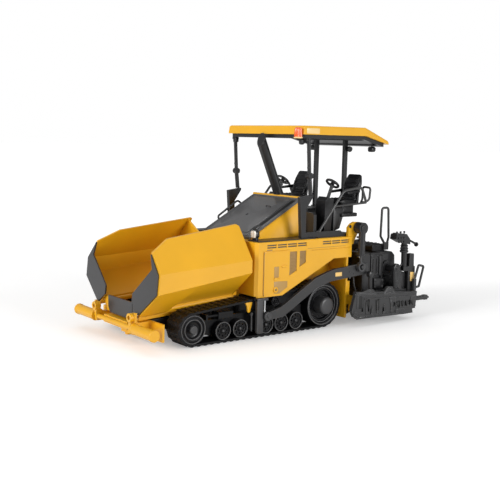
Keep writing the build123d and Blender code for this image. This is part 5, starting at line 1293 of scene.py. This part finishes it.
# %% Tow columns
column = join(
    plate([(18.1, 15.3), (21.0, 15.3), (21.0, 2.6), (20.4, 2.0), (18.1, 2.0)], 25.5, 26.8, 0.3, 0.15, 3),
    slab([(15.9, 14.4), (21.0, 14.4), (21.0, 15.3), (15.9, 15.3)], 24.75, 26.9),
    slab([(18.4, 7.4), (18.4, 9.8), (16.2, 9.6), (16.2, 7.4)], 24.6, 25.6, rim=0.15),
    turned([(24.7, 0), (24.7, 1.2), (25.8, 1.2), (25.8, 0)], TOW_X, TOW_Z),
)
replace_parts(piece("tow_columns_dressed", both_sides(column), "machine", "paint_dark", CAP), "tow_columns")
screw = join(tube([(17.2, 26.3, 9.9), (17.2, 26.3, 14.8)], 0.36, sides=12),
             upright([(0, 0), (0, 0.6), (0.7, 0.6), (0.7, 0)], 17.2, 26.3, 10.2, 6))
piece("height_screws", both_sides(screw), "machine", "steel_bright")
bracket = plate([(24.7, 13.9), (21.3, 13.9), (21.7, 12.4), (22.4, 10.0), (23.4, 10.0), (23.8, 12.4)],
                23.4, 24.2, 0.3, 0.15, 3)
piece("frame_brackets", both_sides(bracket), "machine", "paint_yellow")
guard_rod = join(tube([(21.9, 24.4, 9.4), (21.8, 24.4, 2.9)], 0.3, sides=8),
                 upright([(0, 0), (0, 0.5), (0.5, 0.6), (1.1, 0.5), (1.1, 0)], 21.9, 24.4, 8.8, 12))
piece("guard_rods", both_sides(guard_rod), "machine", "paint_dark", CAP)
collar = upright([(27.5, 0), (27.5, 0.9), (27.9, 0.95), (28.1, 1.1), (28.1, 0)], EAR_X, CYLINDER_Y)
pair("rod_collar", collar, "lift_barrel", "steel_bright")

# %% [markdown]
# Small things at the operator's place. The steering wheel's rim is padded, so a thicker ring lies on the
# CAD rim. Two bolts hold each lift ear, and a closed box with soft edges stands under the front of each
# seat.

# %% Platform and ears
WHEEL_MIDDLE, WHEEL_REACH = np.array([-25.0, 15.8, 56.8]), 2.6
wheel_first, wheel_second, wheel_axis = axes_round((-0.6, 0, 0.8))
angle = np.linspace(0, 2 * np.pi, 48, endpoint=False)[:, None]
wheel_ring = WHEEL_MIDDLE + WHEEL_REACH * (np.cos(angle) * wheel_first + np.sin(angle) * wheel_second)
padded = tube(wheel_ring, 0.52, wheel_axis, 10, closed=True)
piece("wheel_pads", both_sides(padded), "machine", "plastic_black")
ear_bolts = join(
    turned([(24.9, 0), (24.9, 0.62), (25.15, 0.62), (25.15, 0.35), (25.3, 0.3), (25.3, 0)], -26.9, 40.0,
           steps=20),
    turned([(24.9, 0), (24.9, 0.5), (25.1, 0.5), (25.1, 0)], -29.4, 38.8, steps=16),
)
piece("ear_bolts", both_sides(ear_bolts), "machine", "plastic_black")
seat_box = plate([(-23.0, 37.5), (-26.6, 38.6), (-28.4, 43.5), (-28.4, 47.2), (-23.0, 47.2)], 12.4, 19.2, 0.4,
                 0.3, 3)
piece("seat_boxes", both_sides(seat_box), "machine", "plastic_black")

# %% [markdown]
# The handrails are pipes, a little thicker than the CAD sweep, with round bends and a flange at the front
# foot. They follow the same corners as the drawing, so they stand for the node.

# %% Handrails
RAIL_Y, RAIL_RADIUS = 23.1, 0.52
main_rail = rounded([(-11.6, RAIL_Y, 38.2), (-24.5, RAIL_Y, 54.2), (-34.4, RAIL_Y, 55.6),
                     (-37.4, RAIL_Y, 49.2), (-37.4, 19.9, 49.2)], 1.6, 7)
lower_bar = [(-19.6, RAIL_Y, 48.1), (-37.2, RAIL_Y, 49.2)]
hoop = rounded([(-37.2, 20.2, 49.2), (-39.9, 18.3, 50.4), (-39.9, 18.3, 55.4), (-39.9, 22.7, 55.2),
                (-39.6, 22.5, 50.2), (-37.2, 22.2, 49.2)], 1.2, 6)
flange = upright([(0, 0), (0, 1.0), (0.3, 1.0), (0.45, 0.7), (0.45, 0)], -11.5, RAIL_Y, 38.35, 20)
rails = join(tube(main_rail, RAIL_RADIUS, (0.3, 1, 0.2)), tube(lower_bar, 0.42),
             tube(hoop, 0.45, (0.2, 0.3, 1)), flange)
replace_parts(piece("handrails_dressed", both_sides(rails), "machine", slot_of["handrails"], RAIL), "handrails")

# %% Sizes of the new pieces, and the end
print(len(made), "new pieces with", sum(made.values()), "triangles")
